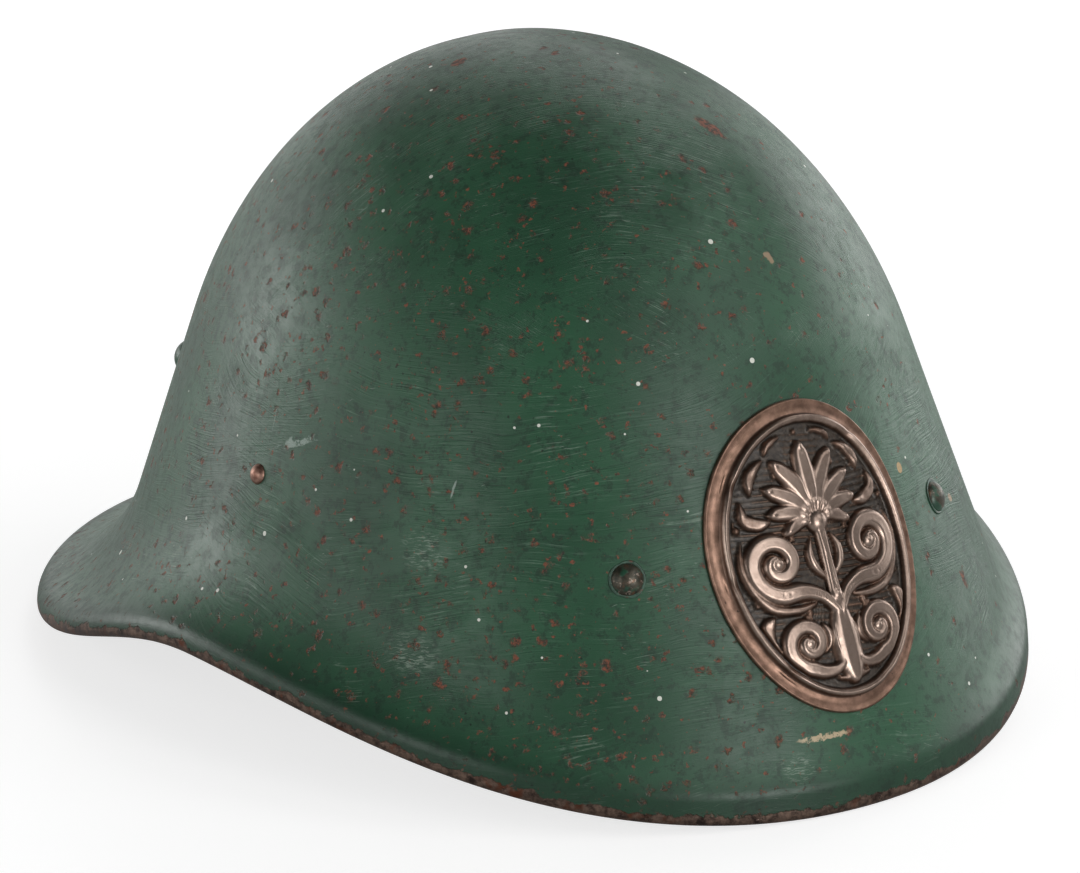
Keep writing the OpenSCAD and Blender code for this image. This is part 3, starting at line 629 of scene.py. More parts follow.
# Strokes as middle line, half widths from start to end and height; bosses as place, radius and height;
# billets as place and half sizes
def ornament():
    strokes = []

    def both(line, widths, height):
        strokes.append((line, widths, height))
        strokes.append((line * [-1, 1], widths, height))

    # Stem that swells into an urn at its foot
    strokes.append((curve([(0, -32), (0, -22), (0, -8), (0, 10)]), (2.4, 4.6, 5.0, 3.0, 1.9, 1.7, 2.0), 2.4))
    # Fan of petals at the top
    for a, length, w in ((0, 21.5, 3.4), (23, 20.0, 3.1), (45, 17.4, 2.8), (67, 14.6, 2.5), (90, 10.6, 2.0)):
        d = np.array([math.sin(math.radians(a)), math.cos(math.radians(a))])
        e = np.array([d[1], -d[0]]) * (a > 0)
        start = np.array([0, 9.0])
        line = curve([start + d * 2.0, start + d * length * 0.5 - e * 0.9, start + d * length + e * 1.8])
        widths = (0.6, 1.2, w * 0.85, w, w * 0.8, 0.4)
        both(line, widths, 2.0) if a else strokes.append((line, widths, 2.3))
    # Large upper scrolls that leave the stem and roll inwards, with an outer strand each
    both(np.concatenate([curve([(0.6, -15), (3.6, -10.4), (8.6, -8.0), (13.8, -8.0)], 24),
                         spiral(14.8, 0.4, 8.4, 1.6, -88, 1.45, 90)]), (1.4, 2.8, 2.7, 2.3, 1.8, 1.3), 2.4)
    both(curve([(6.0, -11.6), (12.0, -12.4), (18.6, -11.0), (22.8, -6.0), (24.6, 0.6), (23.0, 7.4)]),
         (0.5, 1.3, 1.6, 1.5, 1.2, 0.3), 1.7)
    both(curve([(1.4, -5.4), (4.0, -2.2), (4.6, 1.6), (3.2, 5.2)], 24), (0.8, 1.5, 1.3, 0.4), 1.8)
    # Lower scrolls
    both(np.concatenate([curve([(2.4, -28.0), (5.0, -29.4), (8.4, -29.4), (11.4, -28.2)], 20),
                         spiral(11.2, -21.4, 6.8, 1.3, -88, 1.4, 80)]), (1.4, 2.4, 2.4, 2.0, 1.6, 1.2), 2.2)
    # Leaves between the scrolls and along the edge
    for line, w in (([(19.0, -13.2), (21.4, -15.6), (21.6, -19.4), (18.6, -24.2)], 1.9),
                    ([(6.0, -17.0), (4.8, -19.4), (5.0, -22.4), (7.2, -24.8)], 1.1),
                    ([(13.6, 11.4), (17.8, 11.4), (20.8, 13.4), (20.6, 17.8)], 1.9),
                    ([(17.4, 19.0), (17.0, 22.4), (14.6, 25.6), (11.4, 27.6)], 1.6),
                    ([(10.6, 28.6), (9.4, 30.6), (7.0, 32.0), (4.6, 32.6)], 1.0)):
        both(curve(line, 24), (0.4, w, w * 1.15, w * 0.8, 0.25), 1.9)
    # Narrow strands laid along the urn
    both(curve([(1.2, -29.0), (3.0, -25.0), (3.2, -20.0), (1.4, -14.0)], 20), (0.3, 0.8, 0.8, 0.3), 2.9)
    strokes.append((curve([(0, -29.5), (0, -20), (0, -13.0)], 16), (0.3, 0.9, 0.7, 0.3), 3.0))
    strokes.append((curve([(-4.6, -31.8), (0, -32.4), (4.6, -31.8)], 16), (0.8, 1.3, 0.8), 2.0))
    bosses = [(14.8, 0.4, 2.4, 2.4), (11.2, -21.4, 2.1, 2.1), (23.4, 10.6, 1.2, 1.3), (8.6, -13.6, 1.0, 1.0),
              (20.6, -1.6, 0.9, 1.0)]
    bosses += [(-x, y, r, h) for x, y, r, h in bosses]
    bosses += [(0, 9.0, 3.4, 2.7), (0, -10.6, 2.4, 2.5), (0, 33.0, 1.0, 1.0)]
    billets = [(16.0, -29.0, 1.6, 0.9), (8.6, 6.6, 0.9, 1.6), (22.6, -9.0, 0.9, 1.5), (9.2, 23.6, 0.8, 1.7),
               (24.2, 12.6, 0.8, 1.5), (9.4, -14.8, 1.4, 0.8), (18.9, -25.4, 0.8, 1.2), (22.3, 3.6, 0.7, 1.1)]
    billets += [(-x, y, w, h) for x, y, w, h in billets]
    return strokes, bosses, billets


# Height of the ornament over the field
def relief(u, v):
    strokes, bosses, billets = ornament()
    out = np.zeros_like(u)
    for line, widths, height in strokes:
        w = np.interp(np.linspace(0, 1, len(line)), np.linspace(0, 1, len(widths)), widths)
        low, high = line.min(0) - w.max(), line.max(0) + w.max()
        near = np.nonzero((u > low[0]) & (u < high[0]) & (v > low[1]) & (v < high[1]))
        pu, pv = u[near][:, None], v[near][:, None]
        a, d = line[:-1], np.diff(line, axis=0)
        k = ((pu - a[:, 0]) * d[:, 0] + (pv - a[:, 1]) * d[:, 1]) / np.maximum((d**2).sum(1), 1e-9)
        k = np.clip(k, 0, 1)
        dist = np.hypot(pu - a[:, 0] - k * d[:, 0], pv - a[:, 1] - k * d[:, 1])
        wide = w[:-1] + (w[1:] - w[:-1]) * k
        h = np.sqrt(np.maximum(1 - (dist / wide) ** 2, 0)) * np.minimum(wide / 1.5, 1) ** 0.6
        # Broad strands carry a shallow groove along their middle
        h = h * (1 - 0.28 * np.clip((wide - 1.5) / 0.5, 0, 1) * np.exp(-((dist / 0.75) ** 2)))
        out[near] = np.maximum(out[near], h.max(1) * height)
    for x, y, r, height in bosses:
        d = np.hypot(u - x, v - y) / r
        out = np.maximum(out, height * np.sqrt(np.maximum(1 - d**2, 0)))
    for x, y, w, l in billets:
        d = np.maximum(np.abs(u - x) / w, np.abs(v - y) / l)
        out = np.maximum(out, STROKE_TOP * np.clip((1.0 - d) * 4, 0, 1))
    return out


def badge_place(u, v, h):
    z = BADGE_Z + v * cosd(BADGE_SLOPE)
    p = skin(0 * z, z)
    r = np.hypot(p[..., 0], p[..., 1] - DOME_Y)
    o, _, _, n = skin_frame(np.degrees(np.arcsin(np.clip(u / r, -1, 1))), z)
    return o + h[..., None] * n


def copper_material():
    s = Nodes("badge_copper")
    lift, edge = s.read("lift"), s.read("edge")
    fine = s.noise(1.1, 3.0, 0.6)
    patch = s.noise(7.0, 3.0, 0.6, shift=(4, 4, 4))
    rubbed = s.math("ADD", lift, s.math("MULTIPLY_ADD", fine, 0.35, -0.17))
    rubbed = s.math("ADD", rubbed, s.math("MULTIPLY_ADD", patch, 0.5, -0.25))
    high = s.ramp(rubbed, 0.55, 1.15)
    dark = s.tones(fine, 0.3, 0.7, (40, 35, 31), (74, 65, 57))
    warm = s.tones(patch, 0.3, 0.7, (82, 64, 54), (110, 87, 74))
    pits = s.specks(s.warped(0.8, 0.9), 2.6, 0.3, 0.15, 0.45)
    border = s.mix(s.patch(3.0, 4.0, 0.6, (9, 9, 9), 0.3, 0.7), (104, 81, 68), (144, 114, 98))
    border = s.lay(border, (pits, 0.7, (46, 36, 32)))
    base = s.lay(s.tones(rubbed, 0.16, 0.6, dark, warm), (high, 1, (160, 141, 129)), (edge, 1, border))
    rough = s.mixf(edge, s.mixf(high, 0.46, 0.32), s.ramp(patch, 0.3, 0.7, 0.36, 0.5))
    metal = s.top(s.ramp(rubbed, 0.0, 0.4, 0.25, 0.95), s.mul(edge, 0.9))
    height = s.math("SUBTRACT", s.mul(fine, 0.4), s.mul(pits, edge, 0.6))
    return s.finish(base, rough, s.bump(height, 0.05), Metallic=metal)


def build_badge():
    count, edge_n, border_n, field_n = 540, 4, 26, 74
    half_w, half_h = BADGE_W / 2, BADGE_H / 2
    a = turn_angles(count)[:, None]
    # Rings lie closer together over the border and its ridge
    inset = np.concatenate([np.linspace(0, EDGE_R, edge_n, endpoint=False),
                            np.linspace(EDGE_R, RINGS_IN, border_n, endpoint=False),
                            RINGS_IN + (half_w - RINGS_IN - 0.5) * np.linspace(0, 1, field_n) ** 0.95])[None]
    within = np.maximum(inset - RINGS_IN, 0) * (half_h - RINGS_IN) / (half_w - RINGS_IN)
    u = (half_w - inset) * np.sin(a)
    v = (half_h - np.minimum(inset, RINGS_IN) - within) * np.cos(a)
    d = inset + 0 * u
    # Border slightly dished, then the ridge, then the sunk ground with level hatching
    dished = PLATE - 0.4 * np.sin(np.clip((d - 0.4) / 3.8, 0, 1) * math.pi)
    rounded = 0.45 + 0.8 * np.sqrt(np.clip(1 - (1 - d / EDGE_R) ** 2, 0, 1))
    dished = np.where(d < EDGE_R, np.minimum(rounded, dished), dished)
    ground = np.where(d > FIELD_IN, GROUND + 0.35 * np.clip((d - FIELD_IN) / 14, 0, 1) ** 1.5, GROUND)
    ridge = RIDGE_H * np.sqrt(np.maximum(1 - ((d - RIDGE_IN) / RIDGE_HALF) ** 2, 0)) ** 0.9
    field = np.clip((d - FIELD_IN - 0.2) / 0.5, 0, 1)
    art = relief(u, v) * field
    flat = np.stack([u, v, 0 * u], -1)
    slanted = v + 0.12 * u + 0.25 * np.sin(u / 5)
    lines = np.clip(np.cos(2 * math.pi * slanted / HATCH_PITCH) * 2.0 - 0.6, 0, 1)
    broken = np.clip(waves(flat, 9.0, 3) * 3 + 1.1, 0, 1)
    hatch = HATCH_H * lines * broken * field * (art < 0.05)
    height = np.where(d < RIDGE_IN, dished, ground) + ridge + art + hatch
    # Small knocks in the ridge, and hand-made unevenness
    for ang, size, deep in ((-52, 2.6, 0.8), (-96, 2.0, 0.6), (-140, 2.4, 0.7), (38, 1.6, 0.35), (160, 1.8, 0.4)):
        cx, cy = (half_w - 5.1) * sind(ang), (half_h - 5.1) * cosd(ang)
        height -= deep * np.exp(-(((u - cx) ** 2 + (v - cy) ** 2) / size**2)) * (d > 3)
    height += 0.07 * waves(flat, 11.0, 8) * np.clip(d, 0, 1)
    skirt = badge_place(u[:, :1], v[:, :1], 0.05 + 0 * u[:, :1])
    pts = np.concatenate([skirt, badge_place(u, v, height)], 1)
    n = pts.shape[1]
    middles = badge_place(np.zeros(2), np.zeros(2), np.array([0.05, height[:, -1].mean()]))
    ob = make("badge_relief", np.concatenate([pts.reshape(-1, 3), middles]), closed_round(count, n))
    lift = np.clip((height + 0.9 * hatch - GROUND) / 2.0, 0, 1)
    border = np.clip((4.3 - d) / 0.5, 0, 1)
    for name, values, ends in (("lift", lift, [0.0, lift[0, -1]]), ("edge", border, [1.0, 0.0])):
        store(ob, name, np.r_[np.concatenate([values[:, :1], values], 1).ravel(), ends])
    dress(ob, copper_material(), ("badge_plate",))


# Worn metal with its own colours
def metal_material(name, dark, light, spot, spots, size=3.0):
    s = Nodes(name)
    bloom = s.patch(size * 1.7, 4.0, 0.65, (9, len(name) * 2.0, 1), 0.62 - spots * 0.2, 0.74)
    base = s.mix(s.patch(size, 4.0, 0.62, (len(name) * 3.0, 5, 9), 0.3, 0.7), dark, light)
    fine = s.noise(0.7, 3.0, 0.6)
    rough = s.mixf(bloom, s.ramp(fine, 0.25, 0.75, 0.35, 0.55), 0.75)
    height = s.math("MULTIPLY_ADD", fine, 0.5, s.mul(bloom, 0.5))
    return s.finish(s.lay(base, (bloom, 0.85, spot)), rough, s.bump(height, 0.07),
                    Metallic=s.ramp(bloom, 0.0, 1.0, 0.9, 0.27))


# Domed head of dark worn steel with rests of green paint and bright chips
def pin_material(name, painted):
    s = Nodes(name)
    tone = s.noise(2.2, 4.0, 0.65, shift=(12, 5, 9))
    steel = s.lay(s.tones(tone, 0.3, 0.7, (44, 46, 38), (84, 78, 66)),
                  (s.patch(2.4, 3.0, 0.6, (3, 50, 3), 0.55, 0.7), 1, (96, 70, 52)))
    green = s.tones(tone, 0.3, 0.7, (24, 58, 42), (38, 76, 56))
    left = s.patch(3.4, 3.0, 0.55, (31, 2, 3), painted - 0.06, painted + 0.06)
    chip = s.mul(s.patch(1.5, 3.0, 0.65, (7, 12, painted * 90.0), 0.60, 0.64), left)
    base = s.lay(s.mix(left, green, steel), (chip, 0.7, (150, 134, 122)))
    rough = s.mixf(left, 0.40, s.patch(0.8, 3.0, 0.6, None, 0.3, 0.7, 0.34, 0.5))
    height = s.math("ADD", s.mul(tone, 0.5), s.mul(left, -0.3))
    return s.finish(base, rough, s.bump(height, 0.12), Metallic=s.mul(left, 0.5))


def leather_material():
    s = Nodes("liner_leather")
    dark = (62, 38, 24)
    rubbed = s.patch(9.0, 4.0, 0.65, (2, 40, 2), 0.5, 0.75)
    grain = s.cracks(s.warped(0.5, 1.0), 1.1, 0.16)
    folds = s.top(s.cracks(s.warped(6.0, 6.0), 7.5, 0.05), s.patch(15.0, 2.0, 0.6, (9, 9, 70), 0.40, 0.62))
    base = s.mix(s.patch(26.0, 4.0, 0.55, (7, 7, 2), 0.3, 0.7), (112, 70, 42), (142, 94, 60))
    base = s.lay(base, (rubbed, 0.7, dark), (s.math("SUBTRACT", 1.0, folds), 0.38, dark),
                 (s.math("SUBTRACT", 1.0, grain), 0.28, dark),
                 (s.ramp(s.read("rim"), 0.0, 2.5, 1.0, 0.0), 0.6, dark))
    height = s.math("MULTIPLY_ADD", grain, 0.5, s.mul(folds, 1.2))
    normal = s.bump(height, 0.14, s.bump(s.noise(5.0, 3.0, 0.6), 0.4))
    return s.finish(base, s.mixf(rubbed, 0.62, 0.44), normal)


def felt_material():
    s = Nodes("felt")
    a, b = s.noise(3.5, 4.0, 0.7), s.noise(0.35, 3.0, 0.7)
    base = s.lay(s.tones(a, 0.3, 0.7, (104, 98, 86), (138, 131, 116)),
                 (s.ramp(b, 0.55, 0.7), 1, (172, 166, 150)),
                 (s.patch(0.6, 3.0, 0.7, (4, 4, 9), 0.58, 0.7), 1, (64, 58, 50)))
    return s.finish(base, 0.92, s.bump(s.math("ADD", a, b), 0.3), Sheen_Weight=0.35, Sheen_Roughness=0.5)


def lace_material():
    s = Nodes("lace_leather")
    tone = s.noise(4.0, 4.0, 0.6, shift=(5, 1, 5))
    base = s.tones(tone, 0.3, 0.7, (66, 44, 28), (112, 78, 50))
    return s.finish(base, s.ramp(tone, 0.3, 0.7, 0.5, 0.72), s.bump(s.noise(0.6, 3.0, 0.6), 0.12))


def thread_material():
    s = Nodes("thread")
    base = s.mix(s.patch(1.2, 3.0, 0.6, None, 0.3, 0.7), (120, 102, 76), (168, 148, 114))
    return s.finish(base, 0.8, s.bump(s.noise(0.25, 2.0, 0.6), 0.1))


def disturbed_paint():
    s = Nodes("disturbed_paint")
    tone = s.noise(1.4, 3.0, 0.6)
    base = s.lay(s.tones(tone, 0.3, 0.7, (34, 58, 46), (62, 92, 76)),
                 (s.patch(2.4, 3.0, 0.6, (6, 6, 6), 0.55, 0.66), 1, (84, 58, 44)))
    return s.finish(base, s.ramp(tone, 0.3, 0.7, 0.4, 0.6), s.bump(tone, 0.15))


def build_pins():
    trim_paint = disturbed_paint()
    bed = -SHEET - BRIDGE_GAP - BRIDGE_T
    for (name, t), painted in zip(PINS.items(), (0.5, 0.40, 0.62, 0.62)):
        z = hoop_mid(t)
        parts = [revolve(dome(PIN_R, PIN_RISE), 44),
                 revolve([(1.9, bed - 1.1), (2.0, bed - 0.8), (2.0, -0.3), (1.8, -0.2)], 24)]
        # Two legs bent apart over the bridge
        for side in (-1, 1):
            path = soften([(0, side * 0.3, bed - 0.2), (0, side * 1.4, bed - 0.66), (0, side * 5.0, bed - 0.7),
                           (0, side * 8.0, bed - 0.75)], 16, 3)
            taper = np.interp(np.linspace(0, 1, 16), [0, 0.2, 0.8, 1], [1.9, 1.9, 1.7, 1.2])
            parts.append(sweep(path, (1, 0, 0), (0, 0, 1), taper, 0.55, 0.55, 14))
        piece("pin_" + name, seat(join_parts(parts), t, z), pin_material("pin_steel_" + name, painted),
              ("liner_pin_" + name,))
        # Thin ring of disturbed paint round the head
        v, f = revolve([(3.9, -0.3), (4.6, -0.24), (4.9, -0.08), (4.75, 0.1), (4.45, 0.14), (4.05, 0.02)], 60)
        a = np.arctan2(v[:, 1], v[:, 0])
        v[:, :2] *= (1 + 0.025 * np.sin(3 * a + t) + 0.02 * np.sin(5 * a + 1))[:, None]
        v[:, 2] *= 0.7 + 0.45 * np.sin(a + 2.6) + 0.2 * np.sin(3 * a + t)
        piece("pin_paint_" + name, seat((v, f), t, z), trim_paint)


def build_strap_fixings():
    face = -SHEET - STRIP_GAP
    tail, burr = face - STRIP_T - 1.05, face - STRIP_T - 0.025
    rivet = join_parts([revolve(dome(RIVET_R, RIVET_RISE), 36),
                        revolve([(1.0, tail - 0.9), (1.9, tail - 0.85), (2.2, tail - 0.55), (2.0, tail - 0.2),
                                 (1.4, tail), (1.4, -0.3)], 28)])
    washer = revolve([(1.55, burr - 0.95), (4.1, burr - 1.0), (4.45, burr - 0.75), (4.5, burr - 0.3),
                      (4.3, burr), (1.55, burr)], 40)
    # Strip of spring steel curled round the ring's bar
    mid = BORE + STRIP_T / 2
    y0, z0 = -18.5, face - BORE - STRIP_T
    curl = [(y0 + mid * math.cos(q), z0 + mid * math.sin(q)) for q in np.radians(np.linspace(75, 395, 34))]
    flat = soften([(6.4, face - STRIP_T / 2), (-10.0, face - STRIP_T / 2), curl[0]], 12, 1).tolist()
    line = np.asarray([(0.0, y, z) for y, z in flat + curl[1:]])
    wide = np.full(len(line), STRIP_W / 2)
    wide[0] -= 0.5
    strip = sweep(line, (1, 0, 0), np.cross((1, 0, 0), along(line)), wide, STRIP_T / 2, 0.28, 20)
    # Bent wire ring that hangs from it, with rounded corners
    across = (STRIP_W + 2 * WIRE + RING_PLAY) / 2 - RING_R
    corners = []
    for cy, cz, a0 in ((across, -RING_R, 0), (-across, -RING_R, 90), (-across, RING_R - RING_H, 180),
                       (across, RING_R - RING_H, 270)):
        corners += [(cy + RING_R * math.cos(q), cz + RING_R * math.sin(q))
                    for q in np.radians(np.linspace(a0, a0 + 90, 10))]
    corners = np.asarray(corners)
    loop = np.concatenate([even_path(corners[[i, (i + 1) % len(corners)]], 4 if i % 10 == 9 else 2)[:-1]
                           for i in range(len(corners))])
    wire = np.column_stack([0 * loop[:, 0], loop]) + RING_AT
    ring = sweep(wire, np.cross((1, 0, 0), around(wire)), (1, 0, 0), WIRE, WIRE, 1.0, 14, loop=True)
    for name, mirror in (("left", False), ("right", True)):
        for kind, node, solid, mat, slot in (
                ("copper_rivet_", "strap_rivet_", rivet, rivet_copper, "rivet_copper"),
                ("burr_", "strap_burr_", washer, rivet_copper, "rivet_copper"),
                ("bracket_", "strap_bracket_", strip, spring_steel, "spring_steel")):
            placed = seat(solid, STRAP_T, STRAP_Z, back=STRAP_BACK, mirror=mirror)
            piece(kind + name, placed, mat, (node + name,))
        piece("ring_wire_" + name, (ring[0] * ([-1, 1, 1] if mirror else [1, 1, 1]), ring[1]), ring_steel,
              ("strap_ring_" + name,), "ring_" + name)


def build_bridges():
    crest = -SHEET - BRIDGE_GAP - BRIDGE_T / 2
    for name, t0 in PINS.items():
        z0 = hoop_mid(t0)
        o, x, _, n = skin_frame(t0, z0)
        reach = math.hypot(o[0], o[1] - DOME_Y) - HOOP_D

        # Where the hoop's outer face is, so far round from the pin
        def at(e):
            q = under(t0 + math.degrees(e / reach), z0, HOOP_D) - o
            return q @ x, q @ n + BRIDGE_OUT

        half = [(8, crest), at(18), at(BRIDGE_RIVET), at(BRIDGE_END)]
        other = [at(-BRIDGE_END), at(-BRIDGE_RIVET), at(-18), (-8, crest)]
        line = soften([(a, 0.0, b) for a, b in other + half], 72, 5)
        share = np.interp(np.abs(np.linspace(-1, 1, 72)), [0, 0.35, 0.6, 0.9, 0.97, 1.0],
                          [1, 1, 0.86, 0.9, 0.8, 0.55])
        up = np.cross(along(line), (0, 1, 0))
        parts = [sweep(line, (0, 1, 0), up, BRIDGE_W / 2 * share, BRIDGE_T / 2, 0.3, 18)]
        for e in (-BRIDGE_RIVET, BRIDGE_RIVET):
            a, b = at(e)
            v, f = revolve(dome(2.1, 0.9, 6, 1.8), 20)
            parts.append((v + [a, 0, b + 0.4], f))
        piece("bridge_" + name, seat(join_parts(parts), t0, z0), spring_steel,
              ("liner_bridge_" + name,))


def build_hoop():
    t = np.arange(288) * 360.0 / 288
    m = hoop_mid(t)
    high, low = (under(t, m + k * HOOP_W / 2, HOOP_D + HOOP_T / 2) for k in (1, -1))
    band = sweep((high + low) / 2, unit(high - low), skin_frame(t, m)[3],
                 np.linalg.norm(high - low, axis=1) / 2, HOOP_T / 2, 0.3, 20, loop=True)
    piece("hoop_band", band, spring_steel, ("liner_hoop",))


# Angle from the crown's middle at which the crown is so high
def crown_angle(z):
    return np.degrees(np.arccos((z - MID) / CROWN_B))


# Point of the leather's outer face, with k from 0 at its lower edge to 1 at the height of the tips
def leather_place(t, k, more=0.0):
    low, high = crown_angle(hoop_mid(t) - BAND_LOW), crown_angle(TIP_Z)
    z = MID + CROWN_B * cosd(low + (high - low) * k)
    rise = np.maximum(0, (z - HOOP_Z - BAND_HIGH) / (TIP_Z - HOOP_Z - BAND_HIGH))
    return under(t, z, SKIN_D + RISE_D * rise * rise + more)


# k of the leather where its distance from the dome's axis is r
def leather_k(t, r):
    ks = np.linspace(0.3, 1.0, 141)
    out = []
    for a in np.atleast_1d(t):
        p = leather_place(a + 0 * ks, ks)
        out.append(np.interp(-r, -np.hypot(p[:, 0], p[:, 1] - DOME_Y), ks))
    return np.asarray(out)


# One tongue and its part of the band: rows of points and their distance from the sheet's edge
def tongue(mid, cols, low_n, up_n):
    sector = 360.0 / TONGUES
    s = np.linspace(-1, 1, cols)
    s = np.sign(s) * np.abs(s) ** 0.85
    edge_t = mid + s * sector / 2
    # k at the slot's base, where the height passes the band, and at the tip
    low, high = crown_angle(hoop_mid(edge_t) - BAND_LOW), crown_angle(TIP_Z)
    base_k = (crown_angle(HOOP_Z + BAND_HIGH) - low) / (high - low)
    tip_k = leather_k(edge_t, HOLE_R)
    rows = [leather_place(edge_t, base_k * i / low_n) for i in range(low_n + 1)]
    rim = [np.minimum(i * 2.2, 30) + 0 * s for i in range(low_n + 1)]
    for i in range(1, up_n + 1):
        w = 1 - (1 - i / up_n) ** 1.35
        k = base_k + (tip_k - base_k) * w
        p = leather_place(edge_t, k)
        rad = float(np.hypot(p[cols // 2, 0], p[cols // 2, 1] - DOME_Y))
        # Slots have a round bottom, and tongues have round corners
        gap = np.interp(rad, SLOT_AT, SLOT_HALF)
        gap *= math.sqrt(max(0.0, 1 - (1 - min(w * TONGUE_RUN / gap, 1)) ** 2))
        half = rad * math.radians(sector / 2)
        width = half - gap
        to_tip = (1 - w) * TONGUE_RUN
        if to_tip < TIP_CORNER:
            cut = math.sqrt(max(TIP_CORNER**2 - (TIP_CORNER - to_tip) ** 2, 0))
            width = max(width - TIP_CORNER + cut, 1.5)
        tt = mid + s * sector / 2 * width / half
        q = leather_place(tt, np.interp(tt, edge_t, k))
        # Each tongue bellies inwards and its edges lift a little
        belly = BELLY * math.sin(math.pi * min(w * 1.02, 1)) ** 1.5
        n = skin_frame(tt, np.clip(q[:, 2], 30, CROWN - 6))[3]
        rows.append(q - n * (belly * (1 - 0.9 * s**2))[:, None])
        rim.append(np.minimum((1 - np.abs(s)) * width, to_tip))
    return np.concatenate(rows), np.concatenate(rim)


# Leather band with eight tongues, cut apart by round-bottomed slots
def build_leather():
    cols, low_n, up_n = 34, 14, 60
    rows = low_n + up_n + 1
    verts, rims = zip(*(tongue(j * 360.0 / TONGUES, cols, low_n, up_n) for j in range(TONGUES)))
    faces = [q for j in range(TONGUES) for q in weave(rows, cols, start=j * rows * cols)]
    verts = np.concatenate(verts)
    crumple = waves(verts, 24.0, 21) * 0.5 + waves(verts, 9.0, 22) * 0.12
    free = np.clip((verts[:, 2] - HOOP_Z - BAND_HIGH) / 25, 0.12, 1)
    verts = verts - unit(verts - MIDDLE) * ((CREASE + crumple) * free)[:, None]
    ob = make("leather_lining", verts, faces)
    store(ob, "rim", np.concatenate(rims))
    # The tongues' bands are joined, and every face looks outwards, before the sheet gets its thickness
    bm = bmesh.new()
    bm.from_mesh(ob.data)
    bmesh.ops.remove_doubles(bm, verts=bm.verts, dist=0.02 * MM)
    bmesh.ops.recalc_face_normals(bm, faces=bm.faces)
    centre = Vector(MIDDLE * MM)
    outward = sum((f.calc_center_median() - centre).dot(f.normal) > 0 for f in bm.faces)
    if outward < len(bm.faces) / 2:
        bmesh.ops.reverse_faces(bm, faces=bm.faces)
    bm.to_mesh(ob.data)
    bm.free()
    thick = ob.modifiers.new("thickness", "SOLIDIFY")
    thick.thickness, thick.offset, thick.use_even_offset = LEATHER_T * MM, -1.0, True
    round_edge = ob.modifiers.new("edge", "BEVEL")
    round_edge.width, round_edge.segments, round_edge.limit_method = 0.45 * MM, 2, "ANGLE"
    round_edge.angle_limit = math.radians(50)
    mesh = bpy.data.meshes.new_from_object(ob.evaluated_get(bpy.context.evaluated_depsgraph_get()))
    ob.modifiers.clear()
    ob.data = mesh
    mesh.polygons.foreach_set("use_smooth", [True] * len(mesh.polygons))
    dress(ob, leather_material(), ("liner_leather",))


# Stitches along the lower edge of the band, on its inner face
def build_stitches():
    parts = []
    for k in range(int(360 / SEAM_PITCH)):
        t = k * SEAM_PITCH
        za, zb = (hoop_mid(q) - BAND_LOW + SEAM_UP for q in (t, t + SEAM_PITCH))
        a = under(t + SEAM_PITCH * 0.10, za, SKIN_D + LEATHER_T + 0.12)
        b = under(t + SEAM_PITCH * 0.90, zb, SKIN_D + LEATHER_T + 0.12)
        n = skin_frame(t, za)[3]
        wide = 0.42 * np.array([0.7, 1, 1, 1, 0.7])
        parts.append(sweep(even_path([a, (a + b) / 2, b], 5), np.cross(unit(b - a), n), n, wide, 0.34, 0.9, 8,
                           ends=2))
    piece("band_stitches", join_parts(parts), thread_material())


# Small rivets that hold the leather to the hoop, a head on either side
def build_lining_rivets():
    parts = []
    for t in RIVETS:
        z = hoop_mid(t)
        v, f = revolve(dome(3.0, 0.9, 6, 1.2), 26)
        parts.append(seat((v * [1, -1, -1], f), t, z, (0, 0, -(SKIN_D + LEATHER_T) - 0.1)))
        parts.append(seat(revolve(dome(2.2, 0.8, 5, 5.0), 22), t, z, (0, 0, -HOOP_D)))
    piece("lining_rivets", join_parts(parts), lining_brass)


# Lace that runs out of one tongue and into the next, with a knot and two short ends
def build_lace():
    t = np.linspace(0, 360, 241)[:-1]
    path = leather_place(t, leather_k(t, LACE_R), -1.65)
    over = np.cos((((t + 22.5) % 45) / 45 - 0.5) * 2 * math.pi)
    away = unit(path - MIDDLE)
    path = path + away * (0.2 * over)[:, None]
    parts = [sweep(path, np.cross(around(path), away), away, LACE_W, LACE_T, 0.9, 12, loop=True)]
    k = leather_k(KNOT_T, LACE_R)[0]
    o, beside = (leather_place(q, k, -1.9) for q in (KNOT_T, KNOT_T + 1))
    n, x = unit(o - MIDDLE), unit(beside - o)
    y = np.cross(x, n)
    q = turn_angles(40)
    knot = o + np.outer(2.3 * np.cos(q), x) + np.outer(2.0 * np.sin(q), y) + np.outer(0.9 + 0.9 * np.sin(2 * q), n)
    parts.append(sweep(knot, np.cross(around(knot), n), n, 1.3, 1.15, 0.9, 10, loop=True))
    for sign, turn in ((1, 0.5), (-1, -0.9)):
        line = soften([o + n * 1.2, o + x * 4 * sign + y * 3 * turn + n * 1.4,
                       o + x * 9 * sign + y * 9 * turn + n * 0.6,
                       o + x * 15 * sign + y * 14 * turn - n * 0.4], 26, 4)
        parts.append(sweep(line, np.cross(along(line), n), n, 1.35, 1.0, 0.8, 10))
    piece("tongue_lace", join_parts(parts), lace_material(), ("liner_lace",))


